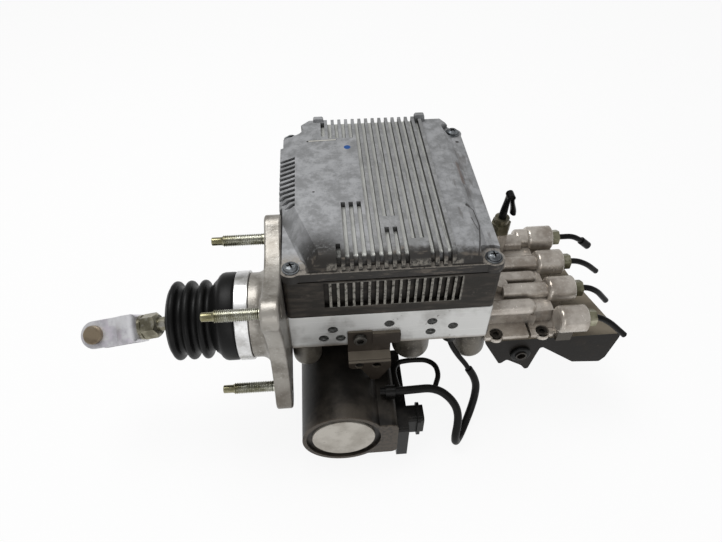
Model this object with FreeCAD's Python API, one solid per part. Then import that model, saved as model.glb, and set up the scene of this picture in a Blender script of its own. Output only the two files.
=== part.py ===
"""Electro-hydraulic brake booster: flange and input piston, valve block, control unit,
pump with its motor, outlet casting with four pipes, brackets and leads.

Frame: origin on the booster's axis, at the flange's pedal-side face. +X runs along the axis
from the pedal to the pipes, +Y away from the finned front, +Z up. Millimetres.
"""
import FreeCAD, Part
import math
import os

os.makedirs("parts", exist_ok=True)

V = FreeCAD.Vector
X_DIR = V(1, 0, 0)
Y_DIR = V(0, 1, 0)
Z_DIR = V(0, 0, 1)

# Clearances
RUN_CLEAR = 0.05
FIT_CLEAR = 0.03
SOFT_CLEAR = 0.3

# Flange and neck, one casting
FLANGE_T = 11.6
STUD_Y = 34.0
STUD_Z = 41.0
LOBE_Y = 38.0
LOBE_Z = 45.0
LOBE_R = 11.0
WAIST_Y = 39.0
WAIST_Z = 46.0
FLANGE_EDGE_R = 1.6
FLARE_R = 8.0
SHOULDER_R = 30.0
SHOULDER_END = 12.0
NECK_R = 28.0
NECK_LEN = 32.0
STUD_R = 4.0
STUD_SEAT_R = 4.6
STUD_OUT = 37.6
DOG_R = 2.9
DOG_LEN = 6.5

# Screws that hold the neck casting on the block
HOUSING_SCREW_R = 2.5
HOUSING_SCREW_HEAD_R = 3.9
HOUSING_SCREW_HEAD_T = 4.5
HOUSING_SCREW_DEPTH = 16.0
HOUSING_SCREW_PLACES = ((23.7, 4.0), (14.5, -19.3), (-8.6, -22.2))

# Input piston, its guide, its seal and its spring
PISTON_R = 11.0
PISTON_OUT = 60.0
PISTON_BACK = -14.0
STEM_R = 4.6
HEAD_R = 6.5
HEAD_X = 18.0
HEAD_LEN = 10.0
HEAD_GROOVE = 1.2
HEAD_GROOVE_W = 3.0
BUSH_R = 20.0
BUSH_T = 5.0
SEAL_R = 16.0
SEAL_T = 5.0
STROKE = 26.0
SPRING_R = 4.7
SPRING_WIRE_R = 0.9
SPRING_TURNS = 7
SPRING_LEN = 52.0

# Pushrod: lengths are measured from the ball along the rod
BALL_X = -53.0
BALL_R = 7.0
SOCKET_MOUTH_R = 7.4
ROD_TILT = 10.0
ROD_NECK_R = 3.6
ROD_NECK_END = 11.0
ROD_R = 5.0
ROD_CONE_LEN = 3.0
ROD_LEN = 47.0
NUT_AT = 26.2
NUT_T = 11.6
NUT_AF = 16.0
NUT_COLLAR_R = 8.8

# Clevis: a folded strap, its arms stepped inwards towards the pin
CLEVIS_ROLL = 38.0
STRAP_T = 2.8
STRAP_W = 19.5
BASE_AT = 40.0
BASE_HALF = 12.6
ARM_HALF = 9.6
JOG_START = 48.6
JOG_END = 54.2
STRAP_BEND_R = 2.0
PIN_AT = 70.5
PIN_R = 4.95
PIN_HEAD_R = 6.6
PIN_HEAD_T = 3.6
PIN_TAIL = 4.2
CLIP_T = 1.2
CLIP_R = 7.2
CLIP_GROOVE_R = 3.7

# Boot: a cuff on the neck, three bellows and a domed end round the rod
RING_OUT_R = 31.6
RING_FROM = 21.7
RING_TO = 12.4
RING_T = 1.8
BOOT_WALL = 1.5
CUFF_R = 31.2
CUFF_FRONT = 33.2
CUFF_BULGE_END = 22.1
BELLOWS_CREST_R = 28.0
BELLOWS_PITCH = 9.75
BELLOWS_FIRST = 45.0
BELLOWS_COUNT = 3
MOUTH_X = -71.5
MOUTH_R = 9.0
DOME_R = 18.5
DOME_X = -69.9

# Valve block
BLOCK_X0 = 12.4
BLOCK_X1 = 156.6
FRONT_Y = -12.6
BACK_Y = 150.0
BLOCK_Z0 = -26.6
BLOCK_Z1 = 8.4
BLOCK_EDGE = 0.8
BLOCK_BORE_LEN = 67.7
DRILL_R = 3.7
DRILL_DEPTH = 2.3
DRILL_SINK = 0.7
DRILL_PLUG_T = 1.4
DRILLINGS = ((43.1, -7.3), (36.3, -16.7), (48.5, -17.4), (83.5, -4.0), (114.3, -4.4), (114.0, -16.0), (130.0, -10.9))

# Domed accumulator caps under the front of the block
CAP_PLACES = ((23.0, -1.5, 11.0, 26.9), (103.0, 3.0, 14.5, 29.0), (149.0, 2.0, 12.8, 32.5))
CAP_DOME = 8.0

# Control unit housing
WALL = 3.0
ECU_Z1 = 43.2
FIN_COUNT = 17
FIN_X0 = 42.9
FIN_PITCH = 5.22
FIN_T = 1.7
FIN_Z0 = 17.8
FIN_Z1 = 41.6
FIN_DEPTH = 3.6
COIL_R = 8.0
COIL_H = 20.0
COIL_HOLE = 0.5
COIL_XS = (34.0, 60.0, 86.0, 112.0)
COIL_YS = (22.0, 62.0, 102.0)
COIL_STEM_R = 3.0
COIL_STEM_H = 3.0
BOARD_Z = 34.0
BOARD_T = 1.6
BOARD_GAP = 2.0
POST_R = 4.5
GASKET_T = 1.0

# Control unit cover
COVER_FLANGE_Z = 51.1
COVER_TOP_Z = 61.7
COVER_RIGHT_Z = 58.6
COVER_RIGHT_KNEE = 6.4
STRIP_Z = 53.4
STRIP_X0 = 148.2
SLOPE_TOP_X = 141.4
STRIP_Y0 = -2.0
STRIP_Y1 = 131.0
COVER_FRONT_Y = -11.4
COVER_OVERHANG = 2.0
COVER_BACK_Y = BACK_Y + COVER_OVERHANG
COVER_KNEE_R = 9.4
COVER_RIGHT_X = 125.2
FLANK_X0 = 10.2
FLANK_X1 = 21.8
FLANK_Z = 57.6
FLANK_Y0 = 49.5
FLANK_Y1 = 118.0
CORNER_SLOPE_RUN = 10.2
CORNER_SLOPE_TURN = 18.5
CORNER_SLOPE_AT = (11.4, 40.0)
CORNER_CUT = 22.0
GROOVE_X0 = 49.4
GROOVE_PITCH = 5.5
GROOVE_W = 3.0
GROOVE_DEPTH = 4.4
GROOVE_COUNT = 14
PAD_FRONT_Y = 45.0
PAD_BACK_Y = 124.0
SIDE_GROOVES = 11
SIDE_GROOVE_Y0 = 43.4
SIDE_GROOVE_PITCH = 5.45
SIDE_GROOVE_W = 3.2
SIDE_GROOVE_DEPTH = 3.2
COVER_SKIN = 3.0
TAB_W = 11.0
TAB_T = 4.0
TAB_TOP = 64.5
TAB_XS = (40.8, 124.0)
SCREW_XS = (18.3, 150.9)
SCREW_YS = (-6.6, 139.4)
LUG_R = 7.6
LUG_X0 = 12.0
SCREW_R = 2.5
SCREW_HEAD_R = 5.8
SCREW_HEAD_T = 3.6
SCREW_LEN = 56.0
SHORT_SCREW_LEN = 38.0
SCREW_POCKET_R = 9.6

# Connector on the unit's hidden back
SOCKET_X0 = 52.0
SOCKET_X1 = 116.0
SOCKET_Z0 = 14.0
SOCKET_Z1 = 39.0
SOCKET_OUT = 14.0
SOCKET_WALL = 2.2
SOCKET_PINS = 12
SOCKET_PIN_PITCH = 4.6
SOCKET_PIN_ROWS = (22.0, 31.0)
SOCKET_PIN_R = 0.6
SOCKET_PIN_LEN = 10.0

# Manifold casting and pump chamber
MANIFOLD_X0 = 20.0
MANIFOLD_X1 = 86.0
MANIFOLD_Y0 = 24.0
MANIFOLD_Y1 = 66.0
MANIFOLD_Z0 = -103.0
MANIFOLD_EDGE_R = 6.0
CHAMBER_R = 12.0
CHAMBER_LEN = 22.0
PLUNGER_R = 5.0
PLUNGER_LEN = 12.0
PLUNGER_PLUG_R = 7.5
PLUNGER_PLUG_T = 5.0
PLUNGER_PLUG_HEX = 11.0
MANIFOLD_SCREW_XS = (47.0, 73.0)
MANIFOLD_SCREW_Y = 41.0
MANIFOLD_SCREW_R = 3.0
MANIFOLD_SCREW_HEAD_R = 5.0
MANIFOLD_SCREW_HEAD_T = 5.0
MANIFOLD_SCREW_GRIP = 13.0

# Motor: housing, end cap, rotor
PUMP_X = 46.7
PUMP_Z = -79.2
PUMP_R = 30.8
PUMP_FRONT_Y = -60.0
PUMP_BORE_R = 26.2
PUMP_REAR_WALL = 6.0
RECESS_R = 27.8
RECESS_DEPTH = 2.6
END_CAP_R = 23.6
END_CAP_LIP = 0.6
END_CAP_T = 5.0
WING_X = 87.4
WING_Z0 = -104.0
WING_Z1 = -64.0
WING_EDGE_R = 5.0
SHAFT_R = 4.0
ARMATURE_R = 18.0
ARMATURE_LEN = 42.0
ARMATURE_SLOTS = 10
SLOT_W = 2.6
SLOT_DEPTH = 5.0
COMMUTATOR_R = 8.5
COMMUTATOR_LEN = 9.0
MAGNET_IN_R = 19.5
MAGNET_OUT_R = 26.0
MAGNET_HALF_ANGLE = 62.0
BEARING_R = 9.0
BEARING_T = 4.5
ECCENTRIC_R = 7.0
ECCENTRIC_OFF = 1.5
ECCENTRIC_W = 10.0
PUMP_SCREW_R = 2.5
PUMP_SCREW_HEAD_R = 4.4
PUMP_SCREW_HEAD_T = 3.5
PUMP_SCREW_PLACES = ((25.2, -59.5), (78.5, -68.2), (78.5, -96.0))
PUMP_SCREW_BITE = 4.0

# Motor connector on the wing
PLUG_PLATE_T = 8.2
PLUG_PLATE_Y1 = 14.0
PLUG_PLATE_Z0 = -112.0
PLUG_PLATE_Z1 = -72.0
PLUG_X1 = 108.5
PLUG_Y0 = -51.0
PLUG_Y1 = -37.0
PLUG_Z0 = -95.0
PLUG_Z1 = -74.0
PLUG_RIM = 1.8
PLUG_RIM_T = 2.4
PLUG_RIM_BACK = 3.0

# Leads, with points chosen by hand along each real route
LEAD_R = 3.1
TAIL_R = 2.0
LEAD_JOINT = (148.4, -14.6, -65.0)
MAIN_ROUTE = (
    (76.0, -34.3, -58.0),
    (90.0, -35.2, -57.4),
    (103.5, -34.2, -58.2),
    (114.0, -33.6, -58.8),
    (122.6, -35.6, -61.2),
    (129.4, -39.6, -66.0),
    (133.8, -43.6, -72.0),
    (135.4, -47.6, -79.0),
    (134.8, -51.8, -86.6),
    (133.4, -55.6, -94.6),
    (134.4, -56.2, -105.0),
    (140.6, -47.6, -110.0),
    (145.8, -39.6, -107.0),
    (151.2, -31.2, -100.0),
    (154.6, -25.0, -90.4),
    (155.6, -20.4, -80.4),
    (153.0, -17.4, -72.2),
    LEAD_JOINT,
)
TAIL_ROUTE = (
    LEAD_JOINT,
    (145.2, -12.6, -60.0),
    (139.0, -10.4, -51.6),
    (133.4, -8.2, -41.8),
    (130.4, -5.6, -33.5),
)
LINK_ROUTE = (
    (89.8, -31.9, -58.4),
    (88.8, -24.0, -59.6),
    (88.2, -14.5, -60.2),
    (92.4, -7.2, -60.6),
    (103.6, -6.0, -60.4),
    (115.4, -7.0, -60.2),
    (121.8, -12.4, -60.0),
    (122.8, -21.6, -60.2),
    (118.6, -31.1, -59.9),
)
CLIP_BAND_W = 7.0
CLIP_BAND_T = 1.4
GLAND_R = 5.4
GLAND_H = 6.0

# Front bracket
BRACKET_T = 1.6
FB_X0 = 53.4
FB_X1 = 84.8
FB_TOP_Z = -10.0
FB_ARM_X1 = 92.0
FB_ARM_Z0 = -23.6
FB_ARM_Z1 = -11.4
FB_ARM_T = 2.6
FB_JOG_Z = -33.4
FB_JOG_OUT = 7.8
FB_JOG_DROP = 3.4
FB_LIP_Z = -44.0
FB_TAB_X = 73.4
FB_TAB_Z = -59.6
FB_TAB_HALF = 2.8
FB_TAB_R = 2.6
FB_HOLE_R = 3.2
FB_HOLES = ((61.4, -40.4), (74.2, -41.0))
FB_BOLT = (62.4, -16.6)
FB_BOLT_HEAD_R = 4.9
FB_BOLT_HEAD_T = 3.4
FB_BOLT_R = 3.0
FB_BOLT_BITE = 12.0

# Outlet casting
OUTLET_YS = (77.7, 48.9, 19.7, -9.8)
OUTLET_Z = -15.0
OUTLET_FACE_X = 230.0
BOSS_R = 10.2
BOSS_X0 = 208.6
BOSS_SHOULDER = 3.0
FLOOR_Z0 = -34.0
FLOOR_Z1 = -30.0
FLOOR_X1 = 212.0
FLOOR_Y0 = -11.5
FLOOR_GAP = ((190.5, 192.5), (-14.0, 3.0))
FILL_Y0 = 1.0
FILL_Z1 = -17.0
WEB_HALF = 5.5
WEB_X1 = 222.0
RUN_R = 6.5
SHORT_RUN = (34.2, 5.0, 200.5)
LOW_RUN = (4.2, 6.2, 191.0)
COLUMN = (182.0, 70.0)
COLUMN_R = 7.2
COLUMN_TOP = 4.0
NECK1_X = 198.5
NECK1_R = 8.4
STUB = (174.6, 24.4)
STUB_R = 4.6
STUB_TOP = -9.0
PAD_X0 = 193.0
PAD_X1 = 214.0
PAD_Z1 = -29.6
PAD_Y0 = -5.5
PAD_Y1 = 7.0
GUSSET = ((186.0, 8.0), (196.0, 8.0), (196.0, -3.0))
GUSSET_Z1 = -20.0
EAR_R = 6.0
EAR_T = 2.8
EAR_XS = (166.2, 201.8)
EAR_Y = -7.9
EAR_SCREW_R = 2.5
EAR_HEAD_R = 4.2
EAR_HEAD_T = 1.8
EAR_SCREW_LEN = 11.0

# Tube nuts and cut pipes
NUT_HEX = 11.2
NUT_OUT = 7.2
NUT_IN = 9.0
NUT_THREAD_R = 4.9
PIPE_R = 2.3
PIPE_IN = 6.0
PIPE_ROUTES = (
    ((250.0, 0.0, -15.0), (258.5, 0.0, -20.0), (265.5, 0.0, -26.0)),
    ((244.0, 0.0, -15.0), (254.0, 0.0, -20.0), (264.3, 0.0, -29.0)),
    ((243.0, 0.0, -15.0), (252.0, 0.0, -20.4), (262.6, 0.0, -32.4)),
    ((241.0, 0.0, -15.0), (250.5, -1.8, -20.5), (263.3, -5.8, -31.6)),
)
PIPE_CRIMP_R = 3.3
PIPE_CRIMP_LEN = 10.0

# Vertical union and its folded pipe
UNION_HEX = 14.0
UNION_HEX_H = 8.5
UNION_COLLAR_R = 5.8
UNION_COLLAR_H = 5.0
UNION_THREAD_LEN = 8.0
INLET_R = 3.1
INLET_FLAT_Z = 38.9
INLET_FLAT = 1.5
INLET_WIDE = 4.1
INLET_DOWN_X = 189.6
INLET_FOLD_X = 184.6
INLET_ROUND_Z = 20.0
INLET_RETURN = 21.5
INLET_LEVELS = 6
INLET_CUT_ACROSS = 2.4
INLET_CUT_ALONG = 3.6

# Side bracket under the outlet casting
SB_X0 = 158.0
SB_TOP_Z = -34.0
SB_FRONT_Y = -12.2
SB_BACK_Y = 86.5
SB_TOP_OUTLINE = ((236.5, 86.5), (243.2, 50.0), (263.2, -12.2))
SB_FACE_OUTLINE = (
    (158.0, -36.4),
    (173.7, -65.6),
    (178.6, -59.4),
    (192.2, -68.8),
    (198.1, -77.2),
    (201.4, -54.3),
    (203.0, -44.4),
    (233.9, -68.4),
    (256.7, -70.3),
    (260.0, -64.6),
    (263.2, -40.0),
)
SB_CORNER_R = 2.0
GROMMET_X = 187.7
GROMMET_Z = -51.0
GROMMET_HOLE_R = 6.0
GROMMET_R = 7.8
GROMMET_T = 7.0
SLEEVE_R = 4.4
SLEEVE_BORE_R = 3.25
SLEEVE_LEN = 9.0


def save(name, *solids):
    shape = solids[0] if len(solids) == 1 else Part.makeCompound(list(solids))
    shape.exportStep(f"parts/{name}.step")


def box(x0, x1, y0, y1, z0, z1):
    return Part.makeBox(x1 - x0, y1 - y0, z1 - z0, V(x0, y0, z0))


def rod_x(x0, x1, radius, y=0.0, z=0.0):
    return Part.makeCylinder(radius, x1 - x0, V(x0, y, z), X_DIR)


def rod_y(y0, y1, radius, x, z):
    return Part.makeCylinder(radius, y1 - y0, V(x, y0, z), Y_DIR)


def rod_z(z0, z1, radius, x, y):
    return Part.makeCylinder(radius, z1 - z0, V(x, y, z0), Z_DIR)


def hex_prism(across_flats, height, base, direction):
    """Hexagonal prism, its end edges turned off at an angle."""
    corner_r = across_flats / math.sqrt(3)
    points = [V(corner_r * math.cos(math.radians(60 * i)), corner_r * math.sin(math.radians(60 * i)), 0) for i in range(7)]
    prism = Part.Face(Part.makePolygon(points)).extrude(V(0, 0, height))
    bevel = 0.35 * (corner_r - across_flats / 2)
    turned = Part.makeCone(corner_r - bevel, corner_r + height, height + bevel)
    prism = prism.common(turned)
    prism = prism.common(turned.mirror(V(0, 0, height / 2), Z_DIR))
    prism.Placement = FreeCAD.Placement(base, FreeCAD.Rotation(Z_DIR, direction))
    return prism


def outline_face(points, radii=None):
    """Flat face whose corners are rounded, each by its own radius."""
    count = len(points)
    radii = radii or [0.0] * count
    edges = []
    starts = []
    ends = []
    middles = []
    for i in range(count):
        before = points[i - 1] - points[i]
        after = points[(i + 1) % count] - points[i]
        half = before.getAngle(after) / 2
        radius = radii[i]
        reach = radius / math.tan(half)
        unit_before = before * (1 / before.Length)
        unit_after = after * (1 / after.Length)
        starts.append(points[i] + unit_before * reach)
        ends.append(points[i] + unit_after * reach)
        bisector = unit_before + unit_after
        if radius > 0:
            bisector.normalize()
            middles.append(points[i] + bisector * (radius / math.sin(half) - radius))
        else:
            middles.append(None)
    for i in range(count):
        if middles[i] is not None:
            edges.append(Part.Arc(starts[i], middles[i], ends[i]).toShape())
        following = starts[(i + 1) % count]
        if ends[i].distanceToPoint(following) > 1e-6:
            edges.append(Part.LineSegment(ends[i], following).toShape())
    return Part.Face(Part.Wire(edges))


def round_edges(shape, radius, chosen):
    """Round those edges of a shape that the test picks by their middle point."""
    edges = [edge for edge in shape.Edges if chosen(edge)]
    return shape.makeFillet(radius, edges)


def middle(edge):
    return edge.valueAt((edge.FirstParameter + edge.LastParameter) / 2)


def tube(points, radius, name=None):
    """Tube along straight runs that are joined by arcs as large as the runs allow."""
    edges = []
    radii = []
    last = points[0]
    for before, corner, after in zip(points, points[1:], points[2:]):
        into = corner - before
        out = after - corner
        run = min(into.Length, out.Length)
        into.normalize()
        out.normalize()
        half = into.getAngle(out) / 2
        trim = 0.45 * run
        bend = trim / math.tan(half)
        centre_dir = out - into
        centre_dir.normalize()
        arc_start = corner - into * trim
        arc_end = corner + out * trim
        arc_middle = corner + centre_dir * (bend / math.cos(half) - bend)
        edges.append(Part.LineSegment(last, arc_start).toShape())
        edges.append(Part.Arc(arc_start, arc_middle, arc_end).toShape())
        last = arc_end
        radii.append(bend)
    edges.append(Part.LineSegment(last, points[-1]).toShape())
    path = Part.Wire(edges)
    ring = Part.Wire(Part.makeCircle(radius, points[0], points[1] - points[0]))
    shell = Part.BRepOffsetAPI.MakePipeShell(path)
    shell.add(ring)
    shell.setTransitionMode(0)
    shell.build()
    shell.makeSolid()
    solid = shell.shape()
    if name:
        section = math.pi * radius ** 2 * path.Length
        print(name, "radii", [round(r, 1) for r in radii], "volume over section", round(solid.Volume / section, 4))
    return solid


def flange_outline():
    """A lobe round each stud, with a shallow hollow between one lobe and the next."""

    def hollow(half_span, level, waist):
        rise = waist - level
        radius = (half_span ** 2 + rise ** 2 - LOBE_R ** 2) / (2 * (LOBE_R - rise))
        return waist + radius

    centre_y = hollow(LOBE_Z, LOBE_Y, WAIST_Y)
    centre_z = hollow(LOBE_Y, LOBE_Z, WAIST_Z)
    diagonal = LOBE_R / math.sqrt(2)
    edges = []
    quadrants = ((1, 1), (-1, 1), (-1, -1), (1, -1))
    touches = []
    for sy, sz in quadrants:
        lobe = V(0, sy * LOBE_Y, sz * LOBE_Z)
        side = V(0, sy * centre_y, 0) - lobe
        top = V(0, 0, sz * centre_z) - lobe
        side_touch = lobe + side * (LOBE_R / side.Length)
        top_touch = lobe + top * (LOBE_R / top.Length)
        outer = lobe + V(0, sy * diagonal, sz * diagonal)
        first, second = (side_touch, top_touch) if sy * sz > 0 else (top_touch, side_touch)
        edges.append(Part.Arc(first, outer, second).toShape())
        touches.append((first, second))
    waists = (V(0, 0, WAIST_Z), V(0, -WAIST_Y, 0), V(0, 0, -WAIST_Z), V(0, WAIST_Y, 0))
    for i, waist in enumerate(waists):
        edges.append(Part.Arc(touches[i][1], waist, touches[(i + 1) % 4][0]).toShape())
    return Part.Face(Part.Wire(Part.__sortEdges__(edges)))


def stud_places():
    return [(sy * STUD_Y, sz * STUD_Z) for sy in (-1, 1) for sz in (-1, 1)]


def booster_housing():
    plate = flange_outline().extrude(V(FLANGE_T, 0, 0))
    plate = round_edges(plate, FLANGE_EDGE_R, lambda e: e.BoundBox.XLength < 1e-6)
    flare_out = SHOULDER_R + FLARE_R
    corner = FLARE_R * (1 - 1 / math.sqrt(2))
    flare = Part.Arc(V(0, 0, flare_out), V(-corner, 0, SHOULDER_R + corner), V(-FLARE_R, 0, SHOULDER_R))
    rest = Part.makePolygon([
        V(-FLARE_R, 0, SHOULDER_R),
        V(-SHOULDER_END, 0, SHOULDER_R),
        V(-SHOULDER_END, 0, NECK_R),
        V(-NECK_LEN, 0, NECK_R),
        V(-NECK_LEN, 0, 0),
        V(FLANGE_T / 2, 0, 0),
        V(FLANGE_T / 2, 0, flare_out),
        V(0, 0, flare_out),
    ])
    profile = Part.Face(Part.Wire([flare.toShape()] + rest.Edges))
    body = plate.fuse(profile.revolve(V(0, 0, 0), X_DIR, 360))
    pad = box(FLANGE_T / 2, BLOCK_X0, FRONT_Y + 1, WAIST_Y - 4, BLOCK_Z0 + 1, BLOCK_Z1 - 1)
    body = body.fuse(pad).removeSplitter()
    cuts = [
        rod_x(-NECK_LEN, BLOCK_X0, PISTON_R + RUN_CLEAR),
        rod_x(-NECK_LEN, -NECK_LEN + BUSH_T, BUSH_R),
        rod_x(-NECK_LEN, -NECK_LEN + BUSH_T + SEAL_T, SEAL_R),
    ]
    for y, z in stud_places():
        cuts.append(rod_x(0, FLANGE_T, STUD_SEAT_R + FIT_CLEAR, y, z))
    for y, z in HOUSING_SCREW_PLACES:
        cuts.append(rod_x(-NECK_LEN, BLOCK_X0, HOUSING_SCREW_R + RUN_CLEAR, y, z))
        cuts.append(rod_x(-NECK_LEN, -NECK_LEN + HOUSING_SCREW_HEAD_T, HOUSING_SCREW_HEAD_R + RUN_CLEAR, y, z))
    for cut in cuts:
        body = body.cut(cut)
    return body


def mounting_studs():
    studs = []
    for y, z in stud_places():
        seat = rod_x(0, FLANGE_T - 0.6, STUD_SEAT_R, y, z)
        shank = rod_x(DOG_LEN - STUD_OUT, 0, STUD_R, y, z)
        taper_len = STUD_R - DOG_R
        taper = Part.makeCone(STUD_R, DOG_R, taper_len, V(DOG_LEN - STUD_OUT, y, z), -X_DIR)
        dog = rod_x(-STUD_OUT, DOG_LEN - STUD_OUT, DOG_R, y, z)
        studs.append(seat.fuse([shank, taper, dog]).removeSplitter())
    return studs


def housing_screws():
    screws = []
    for y, z in HOUSING_SCREW_PLACES:
        head_end = -NECK_LEN + HOUSING_SCREW_HEAD_T
        head = rod_x(head_end - 4, head_end, HOUSING_SCREW_HEAD_R, y, z)
        socket = hex_prism(4.0, 2.4, V(head_end - 4, y, z), X_DIR)
        shank = rod_x(head_end, BLOCK_X0 + HOUSING_SCREW_DEPTH, HOUSING_SCREW_R, y, z)
        screws.append(head.fuse(shank).removeSplitter().cut(socket))
    return screws


def revolved(points):
    """Solid of revolution about the booster's axis, from its outline as (x, radius)."""
    wire = Part.makePolygon([V(x, 0, r) for x, r in points + points[:1]])
    return Part.Face(wire).revolve(V(0, 0, 0), X_DIR, 360)


def input_piston():
    chamfer = 1.5
    head_end = HEAD_X + HEAD_LEN
    groove = HEAD_X + (HEAD_LEN - HEAD_GROOVE_W) / 2
    body = revolved([
        (-PISTON_OUT, 0),
        (-PISTON_OUT, PISTON_R - chamfer),
        (-PISTON_OUT + chamfer, PISTON_R),
        (PISTON_BACK, PISTON_R),
        (PISTON_BACK, STEM_R),
        (HEAD_X, STEM_R),
        (HEAD_X, HEAD_R),
        (groove, HEAD_R),
        (groove, HEAD_R - HEAD_GROOVE),
        (groove + HEAD_GROOVE_W, HEAD_R - HEAD_GROOVE),
        (groove + HEAD_GROOVE_W, HEAD_R),
        (head_end, HEAD_R),
        (head_end, 0),
    ])
    socket = Part.makeSphere(BALL_R + RUN_CLEAR, V(BALL_X, 0, 0))
    lip_x = BALL_X - 0.62 * BALL_R
    lip_r = math.sqrt(BALL_R ** 2 - (0.62 * BALL_R) ** 2)
    mouth = Part.makeCone(lip_r, SOCKET_MOUTH_R, lip_x + PISTON_OUT, V(lip_x, 0, 0), -X_DIR)
    return body.cut(socket).cut(mouth)


def guide_bush():
    ring = rod_x(-NECK_LEN, -NECK_LEN + BUSH_T, BUSH_R - FIT_CLEAR)
    return ring.cut(rod_x(-NECK_LEN, -NECK_LEN + BUSH_T, PISTON_R + RUN_CLEAR))


def piston_seal():
    start = -NECK_LEN + BUSH_T
    ring = rod_x(start, start + SEAL_T, SEAL_R - FIT_CLEAR)
    ring = ring.cut(rod_x(start, start + SEAL_T, PISTON_R + SOFT_CLEAR))
    lip = Part.makeCone(SEAL_R - 2.0, PISTON_R + SOFT_CLEAR, SEAL_T / 2, V(start + SEAL_T / 2, 0, 0), -X_DIR)
    return ring.cut(lip.mirror(V(start + SEAL_T / 2, 0, 0), X_DIR))


def return_spring():
    start = HEAD_X + HEAD_LEN + SPRING_WIRE_R + RUN_CLEAR
    height = SPRING_LEN - 2 * SPRING_WIRE_R - 2 * RUN_CLEAR
    helix = Part.makeHelix(height / SPRING_TURNS, height, SPRING_R)
    ring = Part.Wire(Part.makeCircle(SPRING_WIRE_R, V(SPRING_R, 0, 0), Y_DIR))
    coil = Part.Wire(helix).makePipeShell([ring], True, True)
    coil.Placement = FreeCAD.Placement(V(start, 0, 0), FreeCAD.Rotation(Z_DIR, X_DIR))
    return coil


def on_rod(shape):
    """Place a piece that was drawn along -X from the ball onto the tilted rod."""
    placed = shape.copy()
    placed.rotate(V(0, 0, 0), Y_DIR, -ROD_TILT)
    placed.translate(V(BALL_X, 0, 0))
    return placed


def on_clevis(shape):
    placed = shape.copy()
    placed.rotate(V(0, 0, 0), X_DIR, CLEVIS_ROLL)
    return on_rod(placed)


def pushrod():
    ball = Part.makeSphere(BALL_R, V(0, 0, 0))
    cone_end = ROD_NECK_END + ROD_CONE_LEN
    neck = rod_x(-ROD_NECK_END, 0, ROD_NECK_R)
    cone = Part.makeCone(ROD_NECK_R, ROD_R, ROD_CONE_LEN, V(-ROD_NECK_END, 0, 0), -X_DIR)
    shank = rod_x(-ROD_LEN, -cone_end, ROD_R)
    tip = shank.makeChamfer(1.0, [e for e in shank.Edges if abs(e.BoundBox.XMax + ROD_LEN) < 1e-6])
    return on_rod(ball.fuse([neck, cone, tip]).removeSplitter())


def lock_nut():
    nut = hex_prism(NUT_AF, NUT_T, V(-NUT_AT - NUT_T, 0, 0), X_DIR)
    nose = Part.makeCone(NUT_AF / 2 - 1.2, NUT_AF / 2 + NUT_T, NUT_T + 1.2, V(-NUT_AT, 0, 0), -X_DIR)
    collar = rod_x(-BASE_AT, -NUT_AT - NUT_T, NUT_COLLAR_R)
    nut = nut.common(nose).fuse(collar).removeSplitter()
    return on_rod(nut.cut(rod_x(-BASE_AT, -NUT_AT, ROD_R + FIT_CLEAR)))


def strap_side(thickness_in):
    """Side outline of the strap as points along the rod, offset inwards by a distance."""
    base = BASE_AT + thickness_in
    wide = BASE_HALF - thickness_in
    narrow = ARM_HALF - thickness_in
    end = PIN_AT + STRAP_W / 2
    return base, wide, narrow, end


def clevis():
    outer_base, outer_wide, outer_narrow, end = strap_side(0.0)
    inner_base, inner_wide, inner_narrow, _ = strap_side(STRAP_T)
    half = STRAP_W / 2
    outer = [
        V(-end, -half, outer_narrow),
        V(-JOG_END, -half, outer_narrow),
        V(-JOG_START, -half, outer_wide),
        V(-outer_base, -half, outer_wide),
    ]
    inner = [
        V(-end - 1, -half, inner_narrow),
        V(-JOG_END, -half, inner_narrow),
        V(-JOG_START, -half, inner_wide),
        V(-inner_base, -half, inner_wide),
    ]

    def flipped(points):
        return [V(p.x, p.y, -p.z) for p in reversed(points)]

    bend = STRAP_BEND_R + STRAP_T
    outer_radii = [0, STRAP_BEND_R, bend, bend, bend, bend, STRAP_BEND_R, 0]
    inner_radii = [0, bend, STRAP_BEND_R, STRAP_BEND_R, STRAP_BEND_R, STRAP_BEND_R, bend, 0]
    width = V(0, STRAP_W, 0)
    strap = outline_face(outer + flipped(outer), outer_radii).extrude(width)
    strap = strap.cut(outline_face(inner + flipped(inner), inner_radii).extrude(width))
    deep = BASE_HALF + 1
    ends = outline_face(
        [V(-end, -half, -deep), V(-end, half, -deep), V(-outer_base, half, -deep), V(-outer_base, -half, -deep)],
        [half - 0.05, half - 0.05, 2.0, 2.0],
    ).extrude(V(0, 0, 2 * deep))
    strap = strap.common(ends)
    strap = strap.cut(rod_x(-inner_base - 1, -outer_base + 1, ROD_R + FIT_CLEAR))
    pin_hole = Part.makeCylinder(PIN_R + RUN_CLEAR, 2 * deep, V(-PIN_AT, 0, -deep), Z_DIR)
    return on_clevis(strap.cut(pin_hole))


def clevis_pin():
    head_z = ARM_HALF + RUN_CLEAR
    tail_z = -ARM_HALF - PIN_TAIL
    shank = rod_z(tail_z, head_z, PIN_R, -PIN_AT, 0)
    shank = shank.makeChamfer(0.8, [e for e in shank.Edges if abs(e.BoundBox.ZMax - tail_z) < 1e-6])
    head = rod_z(head_z, head_z + PIN_HEAD_T, PIN_HEAD_R, -PIN_AT, 0)
    head = head.makeChamfer(0.7, [e for e in head.Edges if abs(e.BoundBox.ZMin - head_z - PIN_HEAD_T) < 1e-6])
    groove_top = -ARM_HALF - RUN_CLEAR
    ring = rod_z(groove_top - CLIP_T, groove_top, PIN_R + 1, -PIN_AT, 0)
    ring = ring.cut(rod_z(groove_top - CLIP_T, groove_top, CLIP_GROOVE_R, -PIN_AT, 0))
    return on_clevis(shank.fuse(head).removeSplitter().cut(ring))


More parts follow.
